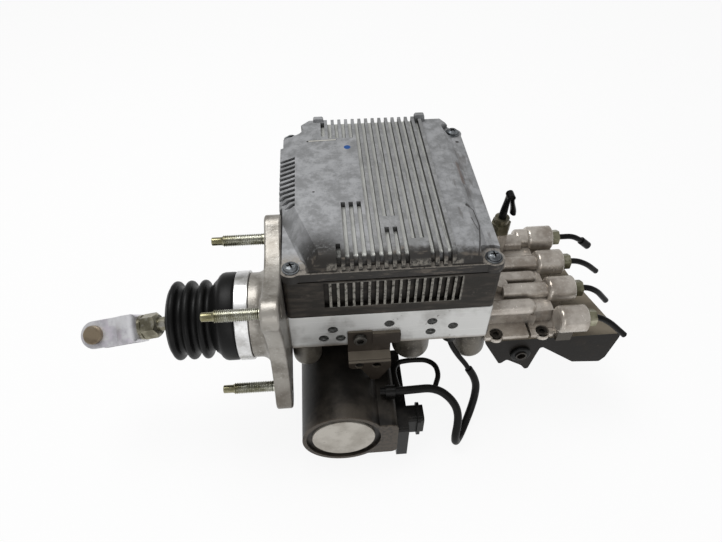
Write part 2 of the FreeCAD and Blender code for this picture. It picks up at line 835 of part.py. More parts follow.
def pin_clip():
    top = -ARM_HALF - RUN_CLEAR
    ring = rod_z(top - CLIP_T, top, CLIP_R, -PIN_AT, 0)
    ring = ring.cut(rod_z(top - CLIP_T, top, CLIP_GROOVE_R + FIT_CLEAR, -PIN_AT, 0))
    mouth = box(-PIN_AT - CLIP_R - 1, -PIN_AT, -2.2, 2.2, top - CLIP_T, top)
    return on_clevis(ring.cut(mouth))


def boot_retainer_ring():
    inner = RING_OUT_R - RING_T
    ring = rod_x(-RING_FROM, -RING_TO, RING_OUT_R).cut(rod_x(-RING_FROM, -RING_TO, inner))
    return ring.makeFillet(0.6, [e for e in ring.Edges if e.BoundBox.ZMax > RING_OUT_R - 0.1 and e.BoundBox.XLength < 1e-6])


def bellows_arcs(offset):
    """Half circles of the crests and valleys from the neck outwards, set in by a distance."""
    bend = BELLOWS_PITCH / 4
    level = BELLOWS_CREST_R - bend
    arcs = []
    for i in range(BELLOWS_COUNT):
        crest = -BELLOWS_FIRST - i * BELLOWS_PITCH
        valley = crest + BELLOWS_PITCH / 2
        deep = bend + offset
        high = bend - offset
        arcs.append(Part.Arc(V(valley + deep, 0, level), V(valley, 0, level - deep), V(valley - deep, 0, level)))
        arcs.append(Part.Arc(V(crest + high, 0, level), V(crest, 0, level + high), V(crest - high, 0, level)))
    return arcs


def boot():
    ring_in = RING_OUT_R - RING_T - SOFT_CLEAR
    neck_out = NECK_R + SOFT_CLEAR
    outer = bellows_arcs(0.0)
    inner = bellows_arcs(BOOT_WALL)
    cuff_end = -RING_TO - SOFT_CLEAR
    first = outer[0].StartPoint
    last = outer[-1].EndPoint
    inner_first = inner[0].StartPoint
    inner_last = inner[-1].EndPoint
    dome = Part.Arc(last, V(DOME_X, 0, DOME_R), V(MOUTH_X, 0, MOUTH_R))
    inner_dome = Part.Arc(V(MOUTH_X + BOOT_WALL, 0, MOUTH_R), V(DOME_X + BOOT_WALL, 0, DOME_R - 1), inner_last)
    start = [
        V(cuff_end, 0, neck_out),
        V(cuff_end, 0, ring_in),
        V(-CUFF_BULGE_END, 0, ring_in),
        V(-CUFF_BULGE_END, 0, CUFF_R),
        V(-CUFF_FRONT, 0, CUFF_R),
        first,
    ]
    mouth = [V(MOUTH_X, 0, MOUTH_R), V(MOUTH_X, 0, 0), V(MOUTH_X + BOOT_WALL, 0, 0), V(MOUTH_X + BOOT_WALL, 0, MOUTH_R)]
    back = [inner_first, V(-NECK_LEN - SOFT_CLEAR, 0, neck_out), V(cuff_end, 0, neck_out)]
    edges = Part.makePolygon(start).Edges
    edges += [arc.toShape() for arc in outer]
    edges += [dome.toShape()]
    edges += Part.makePolygon(mouth).Edges
    edges += [inner_dome.toShape()]
    edges += [arc.toShape() for arc in reversed(inner)]
    edges += Part.makePolygon(back).Edges
    skin = Part.Face(Part.Wire(Part.__sortEdges__(edges))).revolve(V(0, 0, 0), X_DIR, 360)
    rod_way = on_rod(rod_x(-ROD_LEN, 0, ROD_R + SOFT_CLEAR))
    return skin.cut(rod_way)


def screw_places():
    return [(x, y) for x in SCREW_XS for y in SCREW_YS]


def screw_length(x, y):
    """The front left screw stops above the piston's bore, the others reach into the block."""
    near_bore = x == SCREW_XS[0] and y == SCREW_YS[0]
    return SHORT_SCREW_LEN if near_bore else SCREW_LEN


def valve_block():
    block = box(BLOCK_X0, BLOCK_X1, FRONT_Y, BACK_Y, BLOCK_Z0, BLOCK_Z1)
    block = block.makeChamfer(BLOCK_EDGE, block.Edges)
    cuts = [rod_x(BLOCK_X0, BLOCK_X0 + BLOCK_BORE_LEN, HEAD_R + RUN_CLEAR)]
    for x, z in DRILLINGS:
        cuts.append(rod_y(FRONT_Y, FRONT_Y + DRILL_DEPTH, DRILL_R, x, z))
    for y, z in HOUSING_SCREW_PLACES:
        cuts.append(rod_x(BLOCK_X0, BLOCK_X0 + HOUSING_SCREW_DEPTH, HOUSING_SCREW_R + FIT_CLEAR, y, z))
    bolt_x, bolt_z = FB_BOLT
    cuts.append(rod_y(FRONT_Y, FRONT_Y + FB_BOLT_BITE, FB_BOLT_R + FIT_CLEAR, bolt_x, bolt_z))
    for x, y in screw_places():
        screw_end = COVER_FLANGE_Z - screw_length(x, y)
        if screw_end < BLOCK_Z1:
            cuts.append(rod_z(screw_end, BLOCK_Z1, SCREW_R + FIT_CLEAR, x, y))
    for x in MANIFOLD_SCREW_XS:
        cuts.append(rod_z(BLOCK_Z0, BLOCK_Z1, MANIFOLD_SCREW_R + RUN_CLEAR, x, MANIFOLD_SCREW_Y))
    for x in COIL_XS:
        for y in COIL_YS:
            cuts.append(rod_z(BLOCK_Z1 - COIL_STEM_H, BLOCK_Z1, COIL_STEM_R + FIT_CLEAR, x, y))
    for cut in cuts:
        block = block.cut(cut)
    return block


def drilling_plugs():
    plugs = []
    for x, z in DRILLINGS:
        face = FRONT_Y + DRILL_SINK
        plug = rod_y(face, face + DRILL_PLUG_T, DRILL_R - FIT_CLEAR, x, z)
        dimple = Part.makeCone(DRILL_R * 0.62, DRILL_R * 0.3, DRILL_PLUG_T / 2, V(x, face, z), Y_DIR)
        plugs.append(plug.cut(dimple))
    return plugs


def accumulator_caps():
    caps = []
    for x, y, radius, height in CAP_PLACES:
        cap = rod_z(BLOCK_Z0 - height, BLOCK_Z0, radius, x, y)
        bottom = [e for e in cap.Edges if abs(e.BoundBox.ZMax - BLOCK_Z0 + height) < 1e-6]
        caps.append(cap.makeFillet(CAP_DOME, bottom))
    return caps


def solenoid_coils():
    coils = []
    for x in COIL_XS:
        for y in COIL_YS:
            can = rod_z(BLOCK_Z1, BLOCK_Z1 + COIL_H, COIL_R, x, y)
            stem = rod_z(BLOCK_Z1 - COIL_STEM_H, BLOCK_Z1, COIL_STEM_R, x, y)
            nose = rod_z(BLOCK_Z1 + COIL_H, BLOCK_Z1 + COIL_H + COIL_STEM_H, COIL_STEM_R, x, y)
            coils.append(can.fuse([stem, nose]).removeSplitter())
    return coils


def cover_footprint(inset, z0, z1):
    """Eight-sided slab of the unit's plan, smaller all round by an inset."""
    x0 = BLOCK_X0 + inset
    x1 = BLOCK_X1 - inset
    y0 = FRONT_Y + inset
    y1 = COVER_BACK_Y - inset
    cut = CORNER_CUT - inset * (2 - math.sqrt(2))
    points = [
        V(x0, y0, z0),
        V(x1, y0, z0),
        V(x1, y1 - cut / 2, z0),
        V(x1 - cut / 2, y1, z0),
        V(x0 + cut, y1, z0),
        V(x0, y1 - cut, z0),
    ]
    radii = [3.0] * len(points)
    return outline_face(points, radii).extrude(V(0, 0, z1 - z0))


def unit_plan(inset, z0, z1):
    """The unit's plan as a slab, with the unit's own back edge."""
    slab = cover_footprint(inset, z0, z1)
    return slab.common(box(BLOCK_X0, BLOCK_X1, FRONT_Y, BACK_Y - inset, z0, z1))


def unit_room(extra, z0, z1):
    """Slab that fills the unit between its walls, smaller all round by a gap."""
    front = FRONT_Y + FIN_DEPTH + WALL + extra
    slab = unit_plan(WALL + extra, z0, z1)
    return slab.common(box(BLOCK_X0, BLOCK_X1, front, BACK_Y, z0, z1))


def ecu_housing():
    shell = unit_plan(0.0, BLOCK_Z1, ECU_Z1)
    shell = shell.cut(unit_room(0.0, BLOCK_Z1 + WALL, ECU_Z1))
    for x in SCREW_XS:
        for y in SCREW_YS:
            shell = shell.fuse(rod_z(BLOCK_Z1, ECU_Z1, LUG_R - 1.8, x, y))
    for x in COIL_XS[0], COIL_XS[-1]:
        for y in COIL_YS[0], COIL_YS[-1]:
            post_x = x + (COIL_XS[1] - COIL_XS[0]) / 2 if x == COIL_XS[0] else x - (COIL_XS[1] - COIL_XS[0]) / 2
            shell = shell.fuse(rod_z(BLOCK_Z1, BOARD_Z, POST_R, post_x, y))
    for i in range(FIN_COUNT + 1):
        left = FIN_X0 + (i - 1) * FIN_PITCH + FIN_T / 2
        slot = box(left, left + FIN_PITCH - FIN_T, FRONT_Y, FRONT_Y + FIN_DEPTH, FIN_Z0, FIN_Z1)
        shell = shell.cut(slot)
    for x in COIL_XS:
        for y in COIL_YS:
            shell = shell.cut(rod_z(BLOCK_Z1, BLOCK_Z1 + WALL, COIL_R + COIL_HOLE, x, y))
    for x in MANIFOLD_SCREW_XS:
        shell = shell.cut(rod_z(BLOCK_Z1, BLOCK_Z1 + WALL, MANIFOLD_SCREW_HEAD_R + COIL_HOLE, x, MANIFOLD_SCREW_Y))
    for x in SCREW_XS:
        for y in SCREW_YS:
            shell = shell.cut(rod_z(BLOCK_Z1, ECU_Z1, SCREW_R + RUN_CLEAR, x, y))
    window = box(
        SOCKET_X0 + SOCKET_WALL, SOCKET_X1 - SOCKET_WALL,
        BACK_Y - WALL, BACK_Y,
        SOCKET_Z0 + SOCKET_WALL, SOCKET_Z1 - SOCKET_WALL,
    )
    return shell.cut(window)


def circuit_board():
    board = unit_room(BOARD_GAP, BOARD_Z, BOARD_Z + BOARD_T)
    for x in SCREW_XS:
        for y in SCREW_YS:
            board = board.cut(rod_z(BOARD_Z, BOARD_Z + BOARD_T, LUG_R, x, y))
    chips = []
    for x, y, side, height in ((60.0, 40.0, 16.0, 2.2), (96.0, 60.0, 22.0, 3.0), (70.0, 95.0, 12.0, 2.0), (112.0, 104.0, 18.0, 2.4)):
        top = BOARD_Z + BOARD_T
        chips.append(box(x, x + side, y, y + side, top, top + height))
    return board.fuse(chips).removeSplitter()


def ecu_gasket():
    top = ECU_Z1 + GASKET_T
    seal = unit_plan(1.0, ECU_Z1, top).cut(unit_room(0.0, ECU_Z1, top))
    for x in SCREW_XS:
        for y in SCREW_YS:
            seal = seal.fuse(rod_z(ECU_Z1, top, LUG_R - 1.8, x, y))
    for x in SCREW_XS:
        for y in SCREW_YS:
            seal = seal.cut(rod_z(ECU_Z1, top, SCREW_R + RUN_CLEAR, x, y))
    return seal.removeSplitter()


def cover_side(inset, top, knee_r, x0, x1):
    """Slab of the cover's side outline: upright front, a round knee and a flat top."""
    front = COVER_FRONT_Y + inset
    level = top - inset
    knee = knee_r - inset
    back = COVER_BACK_Y - 1.0 + 2.0 * inset
    corner = knee * (1 - 1 / math.sqrt(2))
    knee_arc = Part.Arc(V(x0, front, level - knee), V(x0, front + corner, level - corner), V(x0, front + knee, level))
    rest = Part.makePolygon([
        V(x0, front + knee, level),
        V(x0, back, level),
        V(x0, back, COVER_FLANGE_Z),
        V(x0, front, COVER_FLANGE_Z),
        V(x0, front, level - knee),
    ])
    face = Part.Face(Part.Wire([knee_arc.toShape()] + rest.Edges))
    return face.extrude(V(x1 - x0, 0, 0))


def slope_wedge(x0, z0, x1, z1):
    """Wedge above a line that rises to the right, to be cut from the cover's left."""
    front = FRONT_Y - 25
    points = [
        V(x0 - 15, front, z0),
        V(x0, front, z0),
        V(x1, front, z1),
        V(x1, front, z1 + 5),
        V(x0 - 15, front, z1 + 5),
    ]
    return outline_face(points).extrude(V(0, COVER_BACK_Y - FRONT_Y + 50, 0))


def sloped_left():
    return slope_wedge(FLANK_X0, FLANK_Z, FLANK_X1, COVER_TOP_Z)


def sloped_corner():
    """Steep wedge turned to run down across the front left corner."""
    x, y = CORNER_SLOPE_AT
    wedge = slope_wedge(x, COVER_FLANGE_Z, x + CORNER_SLOPE_RUN, COVER_TOP_Z)
    wedge.rotate(V(x, y, 0), Z_DIR, CORNER_SLOPE_TURN)
    return wedge


def plain_right():
    """The plain zone right of the fins: a lower flat that slopes down to a side strip."""
    start = COVER_RIGHT_X
    flat = cover_side(0.0, COVER_RIGHT_Z, COVER_RIGHT_KNEE, start, STRIP_X0)
    points = [
        V(start, FRONT_Y - 5, COVER_FLANGE_Z),
        V(STRIP_X0, FRONT_Y - 5, COVER_FLANGE_Z),
        V(STRIP_X0, FRONT_Y - 5, STRIP_Z),
        V(SLOPE_TOP_X, FRONT_Y - 5, COVER_RIGHT_Z),
        V(start, FRONT_Y - 5, COVER_RIGHT_Z),
    ]
    limit = outline_face(points).extrude(V(0, COVER_BACK_Y - FRONT_Y + 10, 0))
    strip = box(STRIP_X0 - 4, BLOCK_X1, STRIP_Y0, STRIP_Y1, COVER_FLANGE_Z, STRIP_Z)
    return flat.common(limit).fuse(strip)


def finned_zone(index):
    """Stretches along Y in which one of the top grooves is cut."""
    front = FRONT_Y - 2
    back = COVER_BACK_Y + 2
    spans = {
        -1: [(PAD_BACK_Y + 3.0, COVER_BACK_Y - 5.0)],
        0: [(front, 3.6), (PAD_BACK_Y, back)],
        1: [(front, PAD_FRONT_Y), (PAD_BACK_Y, back)],
        2: [(front, PAD_FRONT_Y), (PAD_BACK_Y, back)],
        3: [(front, PAD_FRONT_Y), (PAD_BACK_Y, back)],
        6: [(front, 17.0), (28.0, back)],
        7: [(front, 17.0), (28.0, back)],
        9: [(5.0, back)],
        10: [(5.0, back)],
    }
    return spans.get(index, [(front, back)])


def ecu_cover():
    base_z = ECU_Z1 + GASKET_T
    flange = cover_footprint(0.0, base_z, COVER_FLANGE_Z)
    raised = cover_side(0.0, COVER_TOP_Z, COVER_KNEE_R, BLOCK_X0, COVER_RIGHT_X)
    top = raised.fuse(plain_right())
    plan = cover_footprint(0.0, COVER_FLANGE_Z, COVER_TOP_Z + 2)
    side = box(FLANK_X0, BLOCK_X0 + 5, FLANK_Y0, FLANK_Y1, COVER_FLANGE_Z, COVER_TOP_Z)
    top = top.common(plan).fuse(side).cut(sloped_left()).cut(sloped_corner())
    core = cover_side(GROOVE_DEPTH, COVER_TOP_Z, COVER_KNEE_R, BLOCK_X0 - 5, BLOCK_X1 + 5)
    for index in range(-1, GROOVE_COUNT):
        centre = GROOVE_X0 + index * GROOVE_PITCH
        for y0, y1 in finned_zone(index):
            slot = box(centre - GROOVE_W / 2, centre + GROOVE_W / 2, y0, y1, COVER_FLANGE_Z, COVER_TOP_Z + 2)
            top = top.cut(slot.cut(core))
    flank = sloped_left()
    flank.translate(V(0, 0, -SIDE_GROOVE_DEPTH))
    for index in range(SIDE_GROOVES):
        y0 = SIDE_GROOVE_Y0 + index * SIDE_GROOVE_PITCH
        cutter = box(FLANK_X0 - 1, FLANK_X1, y0, y0 + SIDE_GROOVE_W, COVER_FLANGE_Z, COVER_TOP_Z + 2)
        top = top.cut(cutter.common(flank))
    skirt = box(FLANK_X0, BLOCK_X0 + 1, FLANK_Y0, FLANK_Y1, base_z, COVER_FLANGE_Z)
    cover = flange.fuse([top, skirt])
    for x in TAB_XS:
        tab_points = [
            V(x - TAB_W / 2, COVER_BACK_Y - TAB_T, COVER_FLANGE_Z),
            V(x + TAB_W / 2, COVER_BACK_Y - TAB_T, COVER_FLANGE_Z),
            V(x + TAB_W / 2 - 1.6, COVER_BACK_Y - TAB_T, TAB_TOP),
            V(x - TAB_W / 2 + 1.6, COVER_BACK_Y - TAB_T, TAB_TOP),
        ]
        cover = cover.fuse(outline_face(tab_points, [0, 0, 1.5, 1.5]).extrude(V(0, TAB_T, 0)))
    for x in SCREW_XS:
        for y in SCREW_YS:
            cover = cover.cut(rod_z(COVER_FLANGE_Z, COVER_TOP_Z + 5, SCREW_POCKET_R, x, y))
            lug = rod_z(base_z, COVER_FLANGE_Z, LUG_R, x, y)
            cover = cover.fuse(lug.common(box(LUG_X0, x + 20, y - 20, y + 20, base_z, COVER_FLANGE_Z)))
    room_top = COVER_TOP_Z - GROOVE_DEPTH - COVER_SKIN
    room = box(
        FLANK_X1 + 5, SLOPE_TOP_X,
        COVER_FRONT_Y + GROOVE_DEPTH + COVER_SKIN, COVER_BACK_Y - TAB_T - WALL,
        base_z, room_top,
    )
    for x in SCREW_XS:
        for y in SCREW_YS:
            room = room.cut(rod_z(base_z, room_top, SCREW_POCKET_R + COVER_SKIN, x, y))
    cover = cover.cut(room)
    for x in SCREW_XS:
        for y in SCREW_YS:
            cover = cover.cut(rod_z(base_z, COVER_FLANGE_Z, SCREW_R + RUN_CLEAR, x, y))
    return cover.removeSplitter()


def cover_screws():
    screws = []
    for x, y in screw_places():
        head = rod_z(COVER_FLANGE_Z, COVER_FLANGE_Z + SCREW_HEAD_T, SCREW_HEAD_R, x, y)
        top = [e for e in head.Edges if e.BoundBox.ZMin > COVER_FLANGE_Z + SCREW_HEAD_T - 1e-6]
        head = head.makeFillet(SCREW_HEAD_T * 0.6, top)
        shank = rod_z(COVER_FLANGE_Z - screw_length(x, y), COVER_FLANGE_Z, SCREW_R, x, y)
        screws.append(head.fuse(shank).removeSplitter())
    return screws


def rear_connector():
    body = box(SOCKET_X0, SOCKET_X1, BACK_Y, BACK_Y + SOCKET_OUT, SOCKET_Z0, SOCKET_Z1)
    body = round_edges(body, 3.0, lambda e: e.BoundBox.YLength > 1)
    hollow = box(
        SOCKET_X0 + SOCKET_WALL, SOCKET_X1 - SOCKET_WALL,
        BACK_Y + SOCKET_WALL, BACK_Y + SOCKET_OUT,
        SOCKET_Z0 + SOCKET_WALL, SOCKET_Z1 - SOCKET_WALL,
    )
    return body.cut(hollow)


def connector_pins():
    pins = []
    first = (SOCKET_X0 + SOCKET_X1) / 2 - (SOCKET_PINS - 1) * SOCKET_PIN_PITCH / 2
    for z in SOCKET_PIN_ROWS:
        for i in range(SOCKET_PINS):
            x = first + i * SOCKET_PIN_PITCH
            start = BACK_Y + SOCKET_WALL
            pin = box(
                x - SOCKET_PIN_R, x + SOCKET_PIN_R,
                start, start + SOCKET_PIN_LEN - SOCKET_WALL,
                z - SOCKET_PIN_R, z + SOCKET_PIN_R,
            )
            pins.append(pin)
    return pins


def manifold():
    body = box(MANIFOLD_X0, MANIFOLD_X1, MANIFOLD_Y0, MANIFOLD_Y1, MANIFOLD_Z0, BLOCK_Z0)
    body = round_edges(body, MANIFOLD_EDGE_R, lambda e: e.BoundBox.YLength > 1 and middle(e).z < BLOCK_Z0 - 1)
    chamber_end = MANIFOLD_Y0 + CHAMBER_LEN
    cuts = [
        rod_y(MANIFOLD_Y0, chamber_end, CHAMBER_R, PUMP_X, PUMP_Z),
        rod_y(chamber_end, chamber_end + BEARING_T, BEARING_R, PUMP_X, PUMP_Z),
        rod_y(chamber_end, chamber_end + BEARING_T + 4, SHAFT_R + 1, PUMP_X, PUMP_Z),
    ]
    plunger_y = eccentric_middle()
    cuts.append(rod_x(MANIFOLD_X0, MANIFOLD_X1, PLUNGER_R + RUN_CLEAR, plunger_y, PUMP_Z))
    cuts.append(rod_x(MANIFOLD_X0, MANIFOLD_X0 + PLUNGER_PLUG_T, PLUNGER_PLUG_R, plunger_y, PUMP_Z))
    cuts.append(rod_x(MANIFOLD_X1 - PLUNGER_PLUG_T, MANIFOLD_X1, PLUNGER_PLUG_R, plunger_y, PUMP_Z))
    for x in MANIFOLD_SCREW_XS:
        depth = BLOCK_Z0 - MANIFOLD_SCREW_GRIP
        cuts.append(rod_z(depth, BLOCK_Z0, MANIFOLD_SCREW_R + FIT_CLEAR, x, MANIFOLD_SCREW_Y))
    for x, z in PUMP_SCREW_PLACES:
        cuts.append(rod_y(MANIFOLD_Y0, MANIFOLD_Y1, PUMP_SCREW_R + RUN_CLEAR, x, z))
    for cut in cuts:
        body = body.cut(cut)
    return body


def eccentric_middle():
    return MANIFOLD_Y0 + CHAMBER_LEN / 2


def manifold_screws():
    screws = []
    for x in MANIFOLD_SCREW_XS:
        head = rod_z(BLOCK_Z1, BLOCK_Z1 + MANIFOLD_SCREW_HEAD_T, MANIFOLD_SCREW_HEAD_R, x, MANIFOLD_SCREW_Y)
        shank = rod_z(BLOCK_Z0 - MANIFOLD_SCREW_GRIP, BLOCK_Z1, MANIFOLD_SCREW_R, x, MANIFOLD_SCREW_Y)
        socket = hex_prism(5.0, 3.0, V(x, MANIFOLD_SCREW_Y, BLOCK_Z1 + MANIFOLD_SCREW_HEAD_T - 3.0), Z_DIR)
        screws.append(head.fuse(shank).removeSplitter().cut(socket))
    return screws


def pump_plungers():
    y = eccentric_middle()
    reach = ECCENTRIC_R + ECCENTRIC_OFF + SOFT_CLEAR
    left = rod_x(PUMP_X - reach - PLUNGER_LEN, PUMP_X - reach, PLUNGER_R, y, PUMP_Z)
    right = rod_x(PUMP_X + reach, PUMP_X + reach + PLUNGER_LEN, PLUNGER_R, y, PUMP_Z)
    return [left, right]


def plunger_plugs():
    y = eccentric_middle()
    reach = ECCENTRIC_R + ECCENTRIC_OFF + SOFT_CLEAR + PLUNGER_LEN
    plugs = []
    for side, outer in ((-1, MANIFOLD_X0), (1, MANIFOLD_X1)):
        inner = PUMP_X + side * reach
        seat = outer - side * PLUNGER_PLUG_T
        stem = rod_x(min(inner, seat), max(inner, seat), PLUNGER_R, y, PUMP_Z)
        flange = rod_x(min(outer, seat), max(outer, seat), PLUNGER_PLUG_R - FIT_CLEAR, y, PUMP_Z)
        hexagon = hex_prism(PLUNGER_PLUG_HEX, 4.0, V(outer, y, PUMP_Z), X_DIR * side)
        plugs.append(stem.fuse([flange, hexagon]).removeSplitter())
    return plugs


def pump_housing():
    can = rod_y(PUMP_FRONT_Y, MANIFOLD_Y0, PUMP_R, PUMP_X, PUMP_Z)
    wing = box(PUMP_X, WING_X, PUMP_FRONT_Y, MANIFOLD_Y0, WING_Z0, WING_Z1)
    wing = round_edges(wing, WING_EDGE_R, lambda e: e.BoundBox.YLength > 1 and middle(e).x > PUMP_X + 1)
    foot = box(MANIFOLD_X0, PUMP_X, MANIFOLD_Y0 - PUMP_REAR_WALL, MANIFOLD_Y0, -68.0, PUMP_Z + PUMP_R)
    body = can.fuse([wing, foot]).removeSplitter()
    front_room = PUMP_FRONT_Y + RECESS_DEPTH
    cuts = [
        rod_y(PUMP_FRONT_Y, front_room, RECESS_R, PUMP_X, PUMP_Z),
        rod_y(front_room, front_room + END_CAP_T, END_CAP_R + FIT_CLEAR, PUMP_X, PUMP_Z),
        rod_y(front_room + END_CAP_T, MANIFOLD_Y0 - PUMP_REAR_WALL, PUMP_BORE_R, PUMP_X, PUMP_Z),
        rod_y(MANIFOLD_Y0 - PUMP_REAR_WALL, MANIFOLD_Y0, BEARING_R, PUMP_X, PUMP_Z),
    ]
    for x, z in PUMP_SCREW_PLACES:
        cuts.append(rod_y(MANIFOLD_Y0 - PUMP_SCREW_BITE, MANIFOLD_Y0, PUMP_SCREW_R + FIT_CLEAR, x, z))
    for cut in cuts:
        body = body.cut(cut)
    return body


def pump_end_cap():
    back = PUMP_FRONT_Y + RECESS_DEPTH + END_CAP_T
    cap = rod_y(PUMP_FRONT_Y + END_CAP_LIP, back, END_CAP_R, PUMP_X, PUMP_Z)
    front = [e for e in cap.Edges if e.BoundBox.YMax < PUMP_FRONT_Y + END_CAP_LIP + 1e-6]
    cap = cap.makeFillet(0.8, front)
    cap = cap.cut(rod_y(back - BEARING_T + 1.0, back, BEARING_R, PUMP_X, PUMP_Z))
    return cap


def motor_magnets():
    y0 = armature_start()
    ring = rod_y(y0, y0 + ARMATURE_LEN, MAGNET_OUT_R, PUMP_X, PUMP_Z)
    ring = ring.cut(rod_y(y0, y0 + ARMATURE_LEN, MAGNET_IN_R, PUMP_X, PUMP_Z))
    magnets = []
    reach = 2 * MAGNET_OUT_R
    half = math.radians(MAGNET_HALF_ANGLE)
    for side in (-1, 1):
        wedge_points = [
            V(PUMP_X, y0, PUMP_Z),
            V(PUMP_X + reach * math.sin(half), y0, PUMP_Z + side * reach * math.cos(half)),
            V(PUMP_X, y0, PUMP_Z + side * 2 * reach),
            V(PUMP_X - reach * math.sin(half), y0, PUMP_Z + side * reach * math.cos(half)),
        ]
        wedge = outline_face(wedge_points).extrude(V(0, ARMATURE_LEN, 0))
        magnets.append(ring.common(wedge))
    return magnets


def armature_start():
    return PUMP_FRONT_Y + RECESS_DEPTH + END_CAP_T + 6.0


def pump_rotor():
    y0 = armature_start()
    chamber_end = MANIFOLD_Y0 + CHAMBER_LEN
    shaft_front = PUMP_FRONT_Y + RECESS_DEPTH + END_CAP_T - BEARING_T + 1.5
    shaft = rod_y(shaft_front, chamber_end + BEARING_T + 2, SHAFT_R, PUMP_X, PUMP_Z)
    core = rod_y(y0, y0 + ARMATURE_LEN, ARMATURE_R, PUMP_X, PUMP_Z)
    for i in range(ARMATURE_SLOTS):
        slot = box(-SLOT_W / 2, SLOT_W / 2, y0, y0 + ARMATURE_LEN, ARMATURE_R - SLOT_DEPTH, ARMATURE_R + 1)
        slot.rotate(V(0, 0, 0), Y_DIR, i * 360 / ARMATURE_SLOTS)
        slot.translate(V(PUMP_X, 0, PUMP_Z))
        core = core.cut(slot)
    commutator_y = y0 + ARMATURE_LEN + 3
    commutator = rod_y(commutator_y, commutator_y + COMMUTATOR_LEN, COMMUTATOR_R, PUMP_X, PUMP_Z)
    middle_y = eccentric_middle()
    eccentric = rod_y(middle_y - ECCENTRIC_W / 2, middle_y + ECCENTRIC_W / 2, ECCENTRIC_R, PUMP_X + ECCENTRIC_OFF, PUMP_Z)
    return shaft.fuse([core, commutator, eccentric]).removeSplitter()


def rotor_bearings():
    """Three plain rings: in the end cap, in the motor's rear wall and in the pump chamber."""
    cap_back = PUMP_FRONT_Y + RECESS_DEPTH + END_CAP_T
    starts = (
        cap_back - BEARING_T + 1.0,
        MANIFOLD_Y0 - PUMP_REAR_WALL,
        MANIFOLD_Y0 + CHAMBER_LEN,
    )
    rings = []
    for start in starts:
        ring = rod_y(start, start + BEARING_T, BEARING_R - FIT_CLEAR, PUMP_X, PUMP_Z)
        rings.append(ring.cut(rod_y(start, start + BEARING_T, SHAFT_R + RUN_CLEAR, PUMP_X, PUMP_Z)))
    return rings


def pump_screws():
    screws = []
    for x, z in PUMP_SCREW_PLACES:
        shank = rod_y(MANIFOLD_Y0 - PUMP_SCREW_BITE, MANIFOLD_Y1, PUMP_SCREW_R, x, z)
        head = rod_y(MANIFOLD_Y1, MANIFOLD_Y1 + PUMP_SCREW_HEAD_T, PUMP_SCREW_HEAD_R, x, z)
        socket = hex_prism(4.0, 2.2, V(x, MANIFOLD_Y1 + PUMP_SCREW_HEAD_T - 2.2, z), Y_DIR)
        screws.append(shank.fuse(head).removeSplitter().cut(socket))
    return screws


def motor_connector():
    plate = box(WING_X, WING_X + PLUG_PLATE_T, PUMP_FRONT_Y, PLUG_PLATE_Y1, PLUG_PLATE_Z0, PLUG_PLATE_Z1)
    plate = round_edges(plate, 2.5, lambda e: e.BoundBox.XLength > 1)
    body = box(WING_X + 1, PLUG_X1, PLUG_Y0, PLUG_Y1, PLUG_Z0, PLUG_Z1)
    body = round_edges(body, 3.0, lambda e: e.BoundBox.XLength > 1)
    rim_x1 = PLUG_X1 - PLUG_RIM_BACK
    rim = box(
        rim_x1 - PLUG_RIM_T, rim_x1,
        PLUG_Y0 - PLUG_RIM, PLUG_Y1 + PLUG_RIM,
        PLUG_Z0 - PLUG_RIM, PLUG_Z1 + PLUG_RIM,
    )
    rim = round_edges(rim, 4.0, lambda e: e.BoundBox.XLength > 1)
    return plate.fuse([body, rim]).removeSplitter()


def points_of(route):
    return [V(*point) for point in route]


def harness_clip():
    """Band round the main lead on the wing's top, with its foot on the wing."""
    near = V(*MAIN_ROUTE[0])
    far = V(*MAIN_ROUTE[1])
    along = far - near
    start = near + along * 0.3
    along.normalize()
    ring = Part.makeCylinder(LEAD_R + SOFT_CLEAR + CLIP_BAND_T, CLIP_BAND_W, start, along)
    foot = box(
        start.x, start.x + CLIP_BAND_W * 0.96,
        start.y - LEAD_R, start.y + LEAD_R,
        WING_Z1, start.z - LEAD_R,
    )
    band = ring.fuse(foot)
    return band.cut(Part.makeCylinder(LEAD_R + SOFT_CLEAR, CLIP_BAND_W + 4, start - along * 2, along))


def lead_gland():
    """Plain boss under the block in which the thin lead ends."""
    x, y, _ = TAIL_ROUTE[-1]
    return rod_z(BLOCK_Z0 - GLAND_H, BLOCK_Z0, GLAND_R, x, y)


